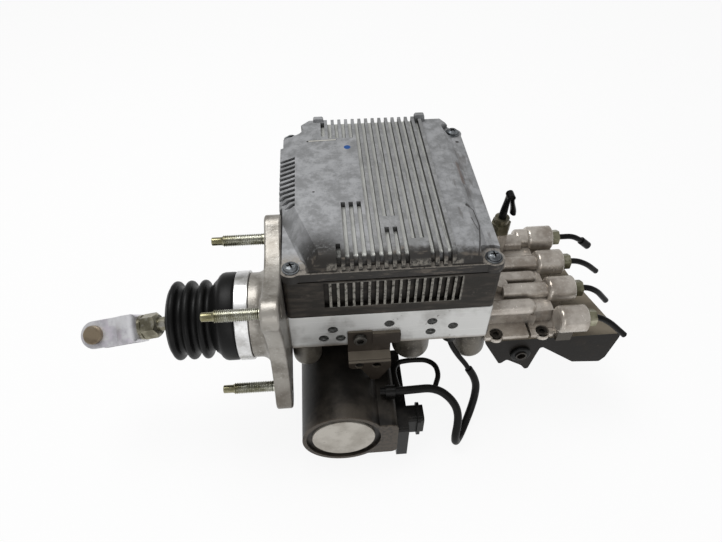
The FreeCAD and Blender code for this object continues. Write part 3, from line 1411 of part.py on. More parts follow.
def front_bracket():
    plane = FRONT_Y - BRACKET_T
    jog_y = plane - FB_JOG_OUT
    jog_z = FB_JOG_Z - FB_JOG_DROP
    side = [
        V(FB_X0, FRONT_Y, FB_TOP_Z),
        V(FB_X0, plane, FB_TOP_Z),
        V(FB_X0, plane, FB_JOG_Z),
        V(FB_X0, jog_y, jog_z),
        V(FB_X0, jog_y, FB_TAB_Z - 5),
        V(FB_X0, jog_y + BRACKET_T, FB_TAB_Z - 5),
        V(FB_X0, jog_y + BRACKET_T, jog_z + BRACKET_T * 0.9),
        V(FB_X0, FRONT_Y, FB_JOG_Z + BRACKET_T * 0.9),
    ]
    radii = [0, 0, 0.8, 1.8, 0, 0, 0.8, 1.8]
    sheet = outline_face(side, radii).extrude(V(FB_X1 - FB_X0, 0, 0))
    front = jog_y - 5
    deep = FRONT_Y - front + 1
    upper_x1 = FB_BOLT[0] + 9.0
    plan = [
        V(FB_X0, front, FB_TOP_Z),
        V(upper_x1, front, FB_TOP_Z),
        V(upper_x1, front, FB_ARM_Z0),
        V(FB_X1, front, FB_ARM_Z0),
        V(FB_X1, front, FB_LIP_Z),
        V(FB_TAB_X + FB_TAB_HALF, front, FB_TAB_Z),
        V(FB_TAB_X - FB_TAB_HALF, front, FB_TAB_Z),
        V(FB_TAB_X - 11.0, front, FB_LIP_Z),
        V(FB_X0, front, FB_LIP_Z),
    ]
    plan_radii = [1.0, 1.0, 1.0, 2.0, 3.0, FB_TAB_R, FB_TAB_R, 3.0, 4.0]
    sheet = sheet.common(outline_face(plan, plan_radii).extrude(V(0, deep, 0)))
    arm = box(upper_x1, FB_ARM_X1, FRONT_Y - FB_ARM_T, FRONT_Y, FB_ARM_Z0, FB_ARM_Z1)
    arm = round_edges(arm, 2.0, lambda e: e.BoundBox.YLength > 1 and middle(e).x > upper_x1 + 1)
    sheet = sheet.fuse(arm).removeSplitter()
    for x, z in FB_HOLES:
        sheet = sheet.cut(rod_y(jog_y - 1, jog_y + BRACKET_T + 1, FB_HOLE_R, x, z))
    bolt_x, bolt_z = FB_BOLT
    return sheet.cut(rod_y(plane, FRONT_Y, FB_BOLT_R + RUN_CLEAR, bolt_x, bolt_z))


def front_bracket_bolt():
    x, z = FB_BOLT
    seat = FRONT_Y - BRACKET_T
    head = rod_y(seat - FB_BOLT_HEAD_T, seat, FB_BOLT_HEAD_R, x, z)
    head = head.makeFillet(1.0, [e for e in head.Edges if e.BoundBox.YMax < seat - FB_BOLT_HEAD_T + 1e-6])
    socket = hex_prism(5.0, 2.0, V(x, seat - FB_BOLT_HEAD_T, z), Y_DIR)
    shank = rod_y(seat, FRONT_Y + FB_BOLT_BITE, FB_BOLT_R, x, z)
    return head.fuse(shank).removeSplitter().cut(socket)


def boss(y, x0, radius):
    """Round boss along X with a rounded inner shoulder."""
    body = rod_x(x0, OUTLET_FACE_X, radius, y, OUTLET_Z)
    body = body.makeFillet(BOSS_SHOULDER, [e for e in body.Edges if e.BoundBox.XMax < x0 + 1e-6])
    return body.makeChamfer(0.8, [e for e in body.Edges if e.BoundBox.XMin > OUTLET_FACE_X - 1e-6])


def round_ended(x0, x1, radius, y):
    return rod_x(x0, x1, radius, y, OUTLET_Z).fuse(Part.makeSphere(radius, V(x1, y, OUTLET_Z)))


def outlet_body():
    start = BLOCK_X1
    back_y = OUTLET_YS[0] + BOSS_R
    floor = outline_face(
        [
            V(start, FLOOR_Y0, FLOOR_Z0),
            V(FLOOR_X1, FLOOR_Y0, FLOOR_Z0),
            V(FLOOR_X1, back_y, FLOOR_Z0),
            V(start, back_y, FLOOR_Z0),
        ],
        [2.0, 3.0, 8.0, 2.0],
    ).extrude(V(0, 0, FLOOR_Z1 - FLOOR_Z0))
    pieces = []
    for y in OUTLET_YS:
        pieces.append(boss(y, BOSS_X0, BOSS_R))
        pieces.append(box(BOSS_X0 + 2, WEB_X1, y - WEB_HALF, y + WEB_HALF, FLOOR_Z0, OUTLET_Z))
    first_y, second_y, third_y, fourth_y = OUTLET_YS
    column_x, column_y = COLUMN
    stub_x, stub_y = STUB
    short_y, short_r, short_end = SHORT_RUN
    low_y, low_r, low_end = LOW_RUN
    neck = rod_x(NECK1_X, BOSS_X0 + 4, NECK1_R, first_y, OUTLET_Z)
    neck = neck.makeFillet(3.0, [e for e in neck.Edges if e.BoundBox.XMax < NECK1_X + 1e-6])
    pieces.append(neck)
    pieces.append(rod_x(column_x, NECK1_X + 4, COLUMN_R, (first_y + column_y) / 2, OUTLET_Z))
    pieces.append(rod_x(start, BOSS_X0 + 4, RUN_R, second_y, OUTLET_Z))
    pieces.append(rod_x(stub_x, BOSS_X0 + 4, RUN_R, third_y, OUTLET_Z))
    pieces.append(round_ended(start, short_end, short_r, short_y))
    pieces.append(round_ended(start, low_end, low_r, low_y))
    pieces.append(box(start, BOSS_X0 + 2, FILL_Y0, back_y - 2, FLOOR_Z0, FILL_Z1))
    pieces.append(rod_z(FLOOR_Z0, COLUMN_TOP, COLUMN_R, column_x, column_y))
    pieces.append(rod_z(FLOOR_Z0, STUB_TOP, STUB_R, stub_x, stub_y))
    pieces.append(box(PAD_X0, PAD_X1, PAD_Y0, PAD_Y1, FLOOR_Z0, PAD_Z1))
    gusset = outline_face([V(x, y, FLOOR_Z0) for x, y in GUSSET])
    pieces.append(gusset.extrude(V(0, 0, GUSSET_Z1 - FLOOR_Z0)))
    for x in EAR_XS:
        pieces.append(rod_z(FLOOR_Z0, FLOOR_Z0 + EAR_T, EAR_R, x, EAR_Y))
    (gap_x0, gap_x1), (gap_y0, gap_y1) = FLOOR_GAP
    floor = floor.cut(box(gap_x0, gap_x1, gap_y0, gap_y1, FLOOR_Z0, FLOOR_Z1))
    body = floor.fuse(pieces).removeSplitter()
    for y in OUTLET_YS:
        body = body.cut(rod_x(OUTLET_FACE_X - NUT_IN - 3.0, OUTLET_FACE_X, NUT_THREAD_R + FIT_CLEAR, y, OUTLET_Z))
    body = body.cut(rod_z(COLUMN_TOP - UNION_THREAD_LEN, COLUMN_TOP, UNION_COLLAR_R - 0.6, column_x, column_y))
    for x in EAR_XS:
        head_z = FLOOR_Z0 + EAR_T - EAR_HEAD_T
        body = body.cut(rod_z(head_z, FLOOR_Z0 + 7.0, EAR_HEAD_R + 0.9, x, EAR_Y))
        body = body.cut(rod_z(FLOOR_Z0, head_z, EAR_SCREW_R + RUN_CLEAR, x, EAR_Y))
    return body.cut(room_for_cap(FLOOR_Z0, BLOCK_Z0 + SOFT_CLEAR))


def room_for_cap(z0, z1):
    """Room that the outlet casting and its bracket leave for the last cap under the block."""
    x, y, radius, _ = CAP_PLACES[-1]
    return rod_z(z0, z1, radius + SOFT_CLEAR, x, y)


def ear_bolts():
    bolts = []
    for x in EAR_XS:
        head_z = FLOOR_Z0 + EAR_T - EAR_HEAD_T
        head = rod_z(head_z, head_z + EAR_HEAD_T + 0.6, EAR_HEAD_R, x, EAR_Y)
        socket = hex_prism(4.0, 1.8, V(x, EAR_Y, head_z + EAR_HEAD_T - 1.2), Z_DIR)
        shank = rod_z(head_z + EAR_HEAD_T - EAR_SCREW_LEN, head_z, EAR_SCREW_R, x, EAR_Y)
        bolts.append(head.fuse(shank).removeSplitter().cut(socket))
    return bolts


def tube_nuts():
    nuts = []
    for y in OUTLET_YS:
        head = hex_prism(NUT_HEX, NUT_OUT, V(OUTLET_FACE_X, y, OUTLET_Z), X_DIR)
        thread = rod_x(OUTLET_FACE_X - NUT_IN, OUTLET_FACE_X, NUT_THREAD_R, y, OUTLET_Z)
        way = rod_x(OUTLET_FACE_X - NUT_IN, OUTLET_FACE_X + NUT_OUT, PIPE_R + RUN_CLEAR, y, OUTLET_Z)
        nuts.append(head.fuse(thread).removeSplitter().cut(way))
    return nuts


def outlet_pipe(index):
    """Brake pipe from inside its nut, bent down and cut off; the first ends in a crimp."""
    y = OUTLET_YS[index]
    points = [V(OUTLET_FACE_X - PIPE_IN, y, OUTLET_Z)]
    points += [V(x, y + aside, z) for x, aside, z in PIPE_ROUTES[index]]
    pipe = tube(points, PIPE_R, f"outlet_pipe_{index + 1}")
    if index == 0:
        end = points[-1]
        along = points[-1] - points[-2]
        along.normalize()
        crimp = Part.makeCylinder(PIPE_CRIMP_R, PIPE_CRIMP_LEN, end - along * (PIPE_CRIMP_LEN - 2.0), along)
        pipe = pipe.fuse(crimp).removeSplitter()
    return pipe


def inlet_union():
    x, y = COLUMN
    hexagon = hex_prism(UNION_HEX, UNION_HEX_H, V(x, y, COLUMN_TOP), Z_DIR)
    thread = rod_z(COLUMN_TOP - UNION_THREAD_LEN, COLUMN_TOP, UNION_COLLAR_R - 0.6 - FIT_CLEAR, x, y)
    top = COLUMN_TOP + UNION_HEX_H
    collar = rod_z(top, top + UNION_COLLAR_H, UNION_COLLAR_R, x, y)
    body = hexagon.fuse([thread, collar]).removeSplitter()
    return body.cut(rod_z(COLUMN_TOP, top + UNION_COLLAR_H, INLET_R + RUN_CLEAR, x, y))


def flattening_leg(start, end):
    """Leg of the folded pipe between two ellipses, each (z, x, half across, half along)."""
    y = COLUMN[1]
    rings = []
    for i in range(INLET_LEVELS + 1):
        part = i / INLET_LEVELS
        eased = part * part * (3 - 2 * part)
        z = start[0] + (end[0] - start[0]) * part
        x, across, along = [a + (b - a) * eased for a, b in zip(start[1:], end[1:])]
        matrix = FreeCAD.Matrix(across, 0, 0, x, 0, along, 0, y, 0, 0, 1, z)
        rings.append(Part.Wire(Part.makeCircle(1.0).transformGeometry(matrix)))
    return Part.makeLoft(rings, True, True)


def inlet_pipe():
    """Pipe that rises from the union, is folded over flat at the top and comes down beside itself."""
    x, y = COLUMN
    up_flat_x = INLET_FOLD_X - INLET_FLAT - RUN_CLEAR
    down_flat_x = INLET_FOLD_X + INLET_FLAT + RUN_CLEAR
    straight = rod_z(COLUMN_TOP, INLET_ROUND_Z, INLET_R, x, y)
    flat_end = (INLET_FLAT_Z, up_flat_x, INLET_FLAT, INLET_WIDE)
    rising = flattening_leg((INLET_ROUND_Z, x, INLET_R, INLET_R), flat_end)
    cut_end = (INLET_RETURN, INLET_DOWN_X, INLET_CUT_ACROSS, INLET_CUT_ALONG)
    falling = flattening_leg(cut_end, (INLET_FLAT_Z, down_flat_x, INLET_FLAT, INLET_WIDE))
    fold_r = 2 * INLET_FLAT + RUN_CLEAR
    crest = Part.makeCylinder(fold_r, 2 * INLET_WIDE - 1.4, V(INLET_FOLD_X, y - INLET_WIDE + 0.7, INLET_FLAT_Z), Y_DIR)
    crest = crest.common(box(up_flat_x - 9, down_flat_x + 9, y - 9, y + 9, INLET_FLAT_Z - 1.2, INLET_FLAT_Z + 9))
    return straight.fuse([rising, falling, crest]).removeSplitter()


def side_bracket():
    top_points = [V(SB_X0, SB_FRONT_Y, SB_TOP_Z), V(SB_X0, SB_BACK_Y, SB_TOP_Z)]
    top_points += [V(x, y, SB_TOP_Z) for x, y in SB_TOP_OUTLINE]
    top = outline_face(top_points, [0, SB_CORNER_R, SB_CORNER_R, SB_CORNER_R, 0]).extrude(V(0, 0, -BRACKET_T))
    face_points = [V(SB_X0, SB_FRONT_Y, SB_TOP_Z)]
    face_points += [V(x, SB_FRONT_Y, z) for x, z in SB_FACE_OUTLINE]
    face_points += [V(SB_FACE_OUTLINE[-1][0], SB_FRONT_Y, SB_TOP_Z)]
    radii = [0] + [SB_CORNER_R] * len(SB_FACE_OUTLINE) + [0]
    face = outline_face(face_points, radii).extrude(V(0, BRACKET_T, 0))
    plate = top.fuse(face).removeSplitter()
    plate = plate.cut(rod_y(SB_FRONT_Y, SB_FRONT_Y + BRACKET_T, GROMMET_HOLE_R, GROMMET_X, GROMMET_Z))
    for x in EAR_XS:
        plate = plate.cut(rod_z(SB_TOP_Z - BRACKET_T, SB_TOP_Z, EAR_SCREW_R + RUN_CLEAR, x, EAR_Y))
    return plate.cut(room_for_cap(SB_TOP_Z - BRACKET_T, SB_TOP_Z))


def bracket_grommet():
    middle_y = SB_FRONT_Y + BRACKET_T / 2
    y0 = middle_y - GROMMET_T / 2
    y1 = middle_y + GROMMET_T / 2
    body = rod_y(y0, y1, GROMMET_R, GROMMET_X, GROMMET_Z)
    rims = [e for e in body.Edges if e.BoundBox.YLength < 1e-6]
    body = body.makeFillet(1.4, rims)
    groove_y0 = SB_FRONT_Y - RUN_CLEAR
    groove_y1 = SB_FRONT_Y + BRACKET_T + RUN_CLEAR
    groove = rod_y(groove_y0, groove_y1, GROMMET_R + 1, GROMMET_X, GROMMET_Z)
    groove = groove.cut(rod_y(groove_y0, groove_y1, GROMMET_HOLE_R - RUN_CLEAR, GROMMET_X, GROMMET_Z))
    return body.cut(groove).cut(rod_y(y0, y1, SLEEVE_R, GROMMET_X, GROMMET_Z))


def grommet_sleeve():
    middle_y = SB_FRONT_Y + BRACKET_T / 2
    y0 = middle_y - SLEEVE_LEN / 2
    y1 = middle_y + SLEEVE_LEN / 2
    body = rod_y(y0, y1, SLEEVE_R - FIT_CLEAR, GROMMET_X, GROMMET_Z)
    return body.cut(rod_y(y0, y1, SLEEVE_BORE_R, GROMMET_X, GROMMET_Z))


def build():
    save("booster_housing", booster_housing())
    save("mounting_studs", *mounting_studs())
    save("housing_screws", *housing_screws())
    save("guide_bush", guide_bush())
    save("piston_seal", piston_seal())
    save("input_piston", input_piston())
    save("return_spring", return_spring())
    save("pushrod", pushrod())
    save("lock_nut", lock_nut())
    save("clevis", clevis())
    save("clevis_pin", clevis_pin())
    save("pin_clip", pin_clip())
    save("boot_retainer_ring", boot_retainer_ring())
    save("boot", boot())
    save("valve_block", valve_block())
    save("drilling_plugs", *drilling_plugs())
    save("accumulator_caps", *accumulator_caps())
    save("solenoid_coils", *solenoid_coils())
    save("ecu_housing", ecu_housing())
    save("circuit_board", circuit_board())
    save("ecu_gasket", ecu_gasket())
    save("ecu_cover", ecu_cover())
    save("cover_screws", *cover_screws())
    save("rear_connector", rear_connector())
    save("connector_pins", *connector_pins())
    save("manifold", manifold())
    save("manifold_screws", *manifold_screws())
    save("pump_plungers", *pump_plungers())
    save("plunger_plugs", *plunger_plugs())
    save("pump_housing", pump_housing())
    save("pump_end_cap", pump_end_cap())
    save("motor_magnets", *motor_magnets())
    save("pump_rotor", pump_rotor())
    save("rotor_bearings", *rotor_bearings())
    save("pump_screws", *pump_screws())
    save("motor_connector", motor_connector())
    save("harness_main", tube(points_of(MAIN_ROUTE), LEAD_R, "harness_main"))
    save("harness_tail", tube(points_of(TAIL_ROUTE), TAIL_R, "harness_tail"))
    save("harness_link", tube(points_of(LINK_ROUTE), TAIL_R, "harness_link"))
    save("harness_clip", harness_clip())
    save("lead_gland", lead_gland())
    save("front_bracket", front_bracket())
    save("front_bracket_bolt", front_bracket_bolt())
    save("outlet_body", outlet_body())
    save("ear_bolts", *ear_bolts())
    save("tube_nuts", *tube_nuts())
    for index in range(len(OUTLET_YS)):
        save(f"outlet_pipe_{index + 1}", outlet_pipe(index))
    save("inlet_union", inlet_union())
    save("inlet_pipe", inlet_pipe())
    save("side_bracket", side_bracket())
    save("bracket_grommet", bracket_grommet())
    save("grommet_sleeve", grommet_sleeve())


build()
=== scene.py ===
# %% [markdown]
# # An electro-hydraulic brake booster
# The booster lies as it was taken out of a car: a pushrod and a black boot on the left, a finned
# control unit on top, the motor of its pump below, and four brake pipes, cut off, on the right.
# The solid model is loaded first. Every piece below is placed in that model's own frame, in metres.

# %% Load the solid model
import math
import bpy
from mathutils import Matrix, Vector


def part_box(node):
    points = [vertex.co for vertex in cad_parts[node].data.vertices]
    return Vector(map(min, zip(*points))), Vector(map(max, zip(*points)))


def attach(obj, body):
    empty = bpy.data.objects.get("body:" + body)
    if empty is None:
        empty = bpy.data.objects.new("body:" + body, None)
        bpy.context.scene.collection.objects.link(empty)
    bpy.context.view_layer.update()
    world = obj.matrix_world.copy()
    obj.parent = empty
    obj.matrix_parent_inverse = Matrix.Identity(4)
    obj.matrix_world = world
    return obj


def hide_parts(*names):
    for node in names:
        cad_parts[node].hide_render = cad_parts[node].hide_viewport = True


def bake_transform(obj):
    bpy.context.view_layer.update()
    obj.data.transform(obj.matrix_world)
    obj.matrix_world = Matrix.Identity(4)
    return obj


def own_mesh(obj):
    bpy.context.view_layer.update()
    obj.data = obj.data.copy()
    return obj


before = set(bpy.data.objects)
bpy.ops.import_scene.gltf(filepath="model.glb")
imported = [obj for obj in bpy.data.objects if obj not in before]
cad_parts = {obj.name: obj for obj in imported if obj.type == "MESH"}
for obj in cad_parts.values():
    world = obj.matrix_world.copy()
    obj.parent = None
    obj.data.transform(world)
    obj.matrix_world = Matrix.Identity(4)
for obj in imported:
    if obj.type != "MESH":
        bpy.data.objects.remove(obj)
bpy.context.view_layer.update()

# %% [markdown]
# ## The camera
# The picture was taken from the front and well above, with a wide lens close to the part. A lens
# that long and a camera that near give the strong narrowing towards the back of the cover.

# %% Camera
CAMERA_PLACE = (0.0435, -0.264, 0.3164)
CAMERA_DOWN = 46.37
CAMERA_TURN = -4.48
LENS = 28.55

camera_data = bpy.data.cameras.new("camera")
camera_data.lens = LENS
camera_data.sensor_width = 36.0
camera_data.clip_start = 0.01
camera = bpy.data.objects.new("camera", camera_data)
camera.location = CAMERA_PLACE
camera.rotation_euler = (math.radians(90 - CAMERA_DOWN), 0.0, math.radians(CAMERA_TURN))
bpy.context.scene.collection.objects.link(camera)
bpy.context.scene.camera = camera
print("camera at", CAMERA_PLACE)

# %% [markdown]
# ## Shader maths as plain expressions
# A material is a small network of nodes. Wiring each sum by hand is slow to read, so one class
# wraps a socket, and its operators add the Math nodes. Colours are mixed by a Mix node instead,
# because a Math node would turn them grey.

# %% Sockets that can be added and multiplied


def linear(red, green, blue):
    """Colour as a screen shows it, 0 to 255, turned into the light that Blender works with."""
    parts = []
    for part in (red, green, blue):
        part /= 255
        parts.append(part / 12.92 if part <= 0.04045 else ((part + 0.055) / 1.055) ** 2.4)
    return (*parts, 1.0)


def add_node(tree, kind, settings, values):
    """Any node: its settings first, then the values or links of its inputs."""
    node = tree.nodes.new(kind)
    for key, value in settings.items():
        setattr(node, key, value)
    for key, value in values.items():
        if isinstance(value, bpy.types.NodeSocket):
            tree.links.new(value, node.inputs[key])
        else:
            node.inputs[key].default_value = value
    return node


class Flow:
    """One number that flows through a material."""

    def __init__(self, finish, socket):
        self.finish = finish
        self.socket = socket

    def math(self, operation, first, second=0.0, clamp=False):
        settings = {"operation": operation, "use_clamp": clamp}
        node = self.finish.node("ShaderNodeMath", settings, {0: first, 1: second})
        return Flow(self.finish, node.outputs[0])

    def __add__(self, other):
        return self.math("ADD", self, other)

    def __radd__(self, other):
        return self.math("ADD", other, self)

    def __sub__(self, other):
        return self.math("SUBTRACT", self, other)

    def __rsub__(self, other):
        return self.math("SUBTRACT", other, self)

    def __mul__(self, other):
        return self.math("MULTIPLY", self, other)

    def __rmul__(self, other):
        return self.math("MULTIPLY", other, self)

    def clamped(self):
        return self.math("ADD", self, 0.0, clamp=True)

    def larger(self, other):
        return self.math("MAXIMUM", self, other)

    def between(self, low, high):
        """0 at low, 1 at high, with a soft change between them."""
        settings = {"interpolation_type": "SMOOTHSTEP"}
        node = self.finish.node("ShaderNodeMapRange", settings, {0: self, 1: low, 2: high})
        return Flow(self.finish, node.outputs[0])


class Finish:
    """A material with its principled shader, and the few nodes that this part's finishes share."""

    def __init__(self, name, metallic, roughness, shine=0.5):
        self.material = bpy.data.materials.new(name)
        self.material.use_nodes = True
        self.tree = self.material.node_tree
        self.shader = self.tree.nodes["Principled BSDF"]
        self.shader.inputs["Metallic"].default_value = metallic
        self.shader.inputs["Roughness"].default_value = roughness
        self.shader.inputs["Specular IOR Level"].default_value = shine
        coordinates = self.node("ShaderNodeTexCoord", {}, {})
        self.place = coordinates.outputs["Object"]
        split = self.node("ShaderNodeSeparateXYZ", {}, {0: self.place})
        self.x, self.y, self.z = (Flow(self, output) for output in split.outputs)
        self.colour = None

    def node(self, kind, settings, values):
        """Add a node to this material; a flow among its inputs is linked by its socket."""
        plain = {key: value.socket if isinstance(value, Flow) else value for key, value in values.items()}
        return add_node(self.tree, kind, settings, plain)

    def noise(self, scale, detail=3.0, roughness=0.55, stretch=None):
        """Soft random spots, about one over scale metres apart; stretch makes streaks of them."""
        place = self.place
        if stretch:
            mapping = self.node("ShaderNodeMapping", {}, {"Vector": place, "Scale": stretch})
            place = mapping.outputs[0]
        values = {"Vector": place, "Scale": scale, "Detail": detail, "Roughness": roughness}
        return Flow(self, self.node("ShaderNodeTexNoise", {}, values).outputs[0])

    def mix(self, low, high, mask):
        """The colour low where the mask is 0 and high where it is 1."""
        values = {0: mask, 6: low, 7: high}
        return self.node("ShaderNodeMix", {"data_type": "RGBA"}, values).outputs[2]

    def ground(self, low, high, mask):
        """The two colours that lie below all others."""
        self.colour = self.mix(low, high, mask)

    def lay(self, colour, mask):
        """One more colour over those below it, where the mask is 1."""
        self.colour = self.mix(self.colour, colour, mask)

    def facing(self, axis):
        """1 on a face that looks along an axis (0, 1 or 2), 0 on one seen edge on."""
        normal = self.node("ShaderNodeNewGeometry", {}, {}).outputs["Normal"]
        split = self.node("ShaderNodeSeparateXYZ", {}, {0: normal})
        return Flow(self, split.outputs[axis])

    def root(self, value):
        """Square root of a flow."""
        return Flow(self, self.node("ShaderNodeMath", {"operation": "SQRT"}, {0: value}).outputs[0])

    def crevice(self, reach):
        """1 in a groove or corner, 0 on an open face."""
        settings = {"samples": 6, "only_local": True}
        node = self.node("ShaderNodeAmbientOcclusion", settings, {"Distance": reach})
        return 1.0 - Flow(self, node.outputs["AO"])

    def disc(self, x, y, radius, soft):
        """1 inside a round spot seen from above, 0 outside it."""
        dx = self.x - x
        dy = self.y - y
        return self.root(dx * dx + dy * dy).between(radius + soft, radius)

    def stroke(self, start, end, half, soft):
        """1 along a straight scratch seen from above, 0 away from it."""
        long_x = end[0] - start[0]
        long_y = end[1] - start[1]
        length = math.hypot(long_x, long_y)
        dx = self.x - start[0]
        dy = self.y - start[1]
        along = dx * (long_x / length) + dy * (long_y / length)
        across = dy * (long_x / length) - dx * (long_y / length)
        past = (along - length).larger(0.0) + (0.0 - along).larger(0.0)
        return self.root(past * past + across * across).between(half + soft, half)

    def paint(self):
        self.tree.links.new(self.colour, self.shader.inputs["Base Color"])

    def rough(self, value):
        self.tree.links.new(value.socket, self.shader.inputs["Roughness"])

    def metal(self, value):
        self.tree.links.new(value.socket, self.shader.inputs["Metallic"])

    def bump(self, height, depth, strength=1.0):
        values = {"Height": height, "Distance": depth, "Strength": strength}
        bump = self.node("ShaderNodeBump", {}, values)
        self.tree.links.new(bump.outputs[0], self.shader.inputs["Normal"])

    def on(self, *names):
        """Give this finish to solids of the model, by their names."""
        for name in names:
            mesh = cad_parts[name].data
            mesh.materials.clear()
            mesh.materials.append(self.material)
        print(self.material.name, "on", ", ".join(names))


# %% [markdown]
# ## The control unit's cover
# Die-cast aluminium that has been under a bonnet for years. Colours are laid over each other from
# the metal up: clouds and specks, painted shade on the rib walls and in the grooves and corners, pale
# floors in the grooves, black dirt round the front corner and on the upright front, and last the marks
# that this one cover has, with a painted highlight along the slot and painted shadow beside it. Each
# mask is worked out from where a point lies and where its face looks.

# %% Cover casting
COVER_TOP = 0.0617
GROOVE_FLOOR = 0.0573
DOT_PLACE = (0.0621, 0.1111)
DOT_RADIUS = 0.0024
SLOT_FROM = (0.0322, 0.1212)
SLOT_TO = (0.0534, 0.1219)
SLOT_DOT = (0.0316, 0.1208)
FIN_ZONE = (0.0405, 0.1285)
RIBS_FROM = 0.0705
COVER_SEAT = 0.0511
CORNER_PLACE = (0.036, -0.008)
CORNER_END = 0.060
DENT = (0.1422, 0.0391)
CRACK = ((0.1435, 0.0380), (0.1461, 0.0372), (0.1471, 0.0220), (0.1440, 0.0070), (0.1397, -0.0091))
SHORT_CRACK = ((0.1418, 0.0256), (0.1447, 0.0160))
BROWN_STREAK = ((0.1449, 0.0917), (0.1455, 0.0675))
DARK_SPOT = (0.0350, 0.0579)
STRIP_HOLE = (0.1518, 0.1237)


def metal_and_painted_shade(cover):
    """Clouds, dark specks, darker rib tops, painted shade on the rib walls and in grooves and corners,
    and the pale floors of the grooves.
    """
    cover.ground(linear(130, 131, 132), linear(160, 161, 163), cover.clouds.between(0.36, 0.64))
    wide = cover.noise(22.0, 3.0, 0.5)
    cover.lay(linear(168, 170, 172), wide.between(0.55, 0.75) * cover.fine.between(0.42, 0.6) * 0.6)
    specks = cover.fine.between(0.58, 0.72) * cover.clouds.between(0.60, 0.42)
    cover.lay(linear(96, 95, 92), specks * 0.75)
    raised = cover.z.between(GROOVE_FLOOR + 0.0016, GROOVE_FLOOR + 0.0030) * cover.upward
    ribs = cover.in_fins * raised * cover.x.between(RIBS_FROM - 0.0015, RIBS_FROM + 0.0015)
    cover.lay(linear(118, 118, 116), ribs * cover.fine.between(0.3, 0.6) * 0.5)
    # Painted shade: the side walls of the ribs, which face along X, are darkened.
    sideways = cover.facing(0)
    wall_shade = (sideways * sideways).between(0.60, 0.90)
    cover.lay(linear(64, 63, 60), wall_shade * (cover.fine * 0.5 + 0.62))
    floor = cover.z.between(GROOVE_FLOOR + 0.0012, GROOVE_FLOOR + 0.0002) * cover.upward
    floor = floor * cover.z.between(GROOVE_FLOOR - 0.0009, GROOVE_FLOOR - 0.0003) * cover.in_fins
    streak = cover.noise(90.0, 4.0, 0.6, stretch=(6.0, 0.5, 6.0))
    # Painted shade: grooves and corners are darkened where the crevice mask finds them.
    cover.lay(linear(38, 36, 33), cover.crevice(0.006).between(0.42, 0.90) * 0.9)
    cover.lay(linear(206, 207, 202), floor * streak.between(0.20, 0.50) * 0.9)
    return floor


def road_dirt(cover):
    """Near-black grime round the front corner and on the upright front, and what shows through."""
    thick = (cover.fine * 0.9 + cover.clouds).between(0.50, 0.92)
    corner = (cover.disc(*CORNER_PLACE, 0.006, 0.030) * thick).clamped()
    above_seat = cover.z.between(COVER_SEAT + 0.0009, COVER_SEAT + 0.0024)
    corner = corner * above_seat * cover.x.between(CORNER_END + 0.010, CORNER_END - 0.010)
    cover.lay(linear(30, 27, 24), corner * 0.95)
    edge = cover.y + (cover.noise(70.0, 4.0, 0.65) - 0.5) * 0.020
    front = edge.between(0.0000, -0.0075)
    grime = cover.noise(120.0, 5.0, 0.65, stretch=(0.5, 1.0, 2.4))
    dirt = cover.mix(linear(37, 34, 31), linear(96, 88, 79), grime.between(0.52, 0.70))
    cover.lay(dirt, front * 0.96)
    ridge = cover.facing(1).between(-0.75, -0.95) * cover.in_fins
    ridge = ridge * cover.z.between(COVER_SEAT + 0.0009, COVER_SEAT + 0.0021)
    ridge = ridge * cover.y.between(-0.0092, -0.0108)
    cover.lay(linear(150, 145, 136), ridge * cover.fine.between(0.36, 0.6) * 0.7)
    skirt = cover.z.between(COVER_SEAT + 0.0021, COVER_SEAT + 0.0001)
    skirt = skirt * cover.upward * cover.y.between(0.010, 0.0)
    cover.lay(linear(138, 132, 124), skirt * cover.fine.between(0.30, 0.55) * 0.85)
    dull = cover.noise(52.0, 4.0, 0.6, stretch=(2.6, 0.5, 1.0)).between(0.56, 0.66)
    beside_fins = cover.x.between(FIN_ZONE[1] + 0.0015, FIN_ZONE[1] + 0.0035)
    cover.lay(linear(98, 95, 93), dull * beside_fins * 0.6)
    return front


def marks(cover):
    """The dent with its cracks, two small spots, a brown streak, the narrow slot with a painted highlight
    along it and painted shadow on both sides, and the blue dot.
    """
    lines = cover.disc(*DENT, 0.0014, 0.0008)
    for start, end in zip(CRACK, CRACK[1:]):
        lines = lines.larger(cover.stroke(start, end, 0.0003, 0.0005))
    lines = lines.larger(cover.stroke(*SHORT_CRACK, 0.0002, 0.0005))
    lines = lines.larger(cover.disc(*DARK_SPOT, 0.0006, 0.0006))
    lines = lines.larger(cover.disc(*STRIP_HOLE, 0.0012, 0.0004))
    cover.lay(linear(44, 41, 38), lines * 0.85)
    cover.lay(linear(104, 84, 74), cover.stroke(*BROWN_STREAK, 0.0006, 0.0016) * 0.6)
    # Painted highlight along the slot, with painted shadow on both sides of it.
    slot = cover.stroke(SLOT_FROM, SLOT_TO, 0.00045, 0.0002)
    cover.lay(linear(60, 58, 55), cover.stroke(SLOT_FROM, SLOT_TO, 0.0009, 0.0003) * 0.8)
    cover.lay(linear(200, 198, 190), slot)
    cover.lay(linear(40, 38, 36), cover.disc(*SLOT_DOT, 0.0007, 0.0003))
    on_top = cover.z.between(COVER_TOP - 0.0011, COVER_TOP - 0.0005)
    cover.lay(linear(36, 80, 142), cover.disc(*DOT_PLACE, DOT_RADIUS, 0.0003) * on_top)
    return lines, slot


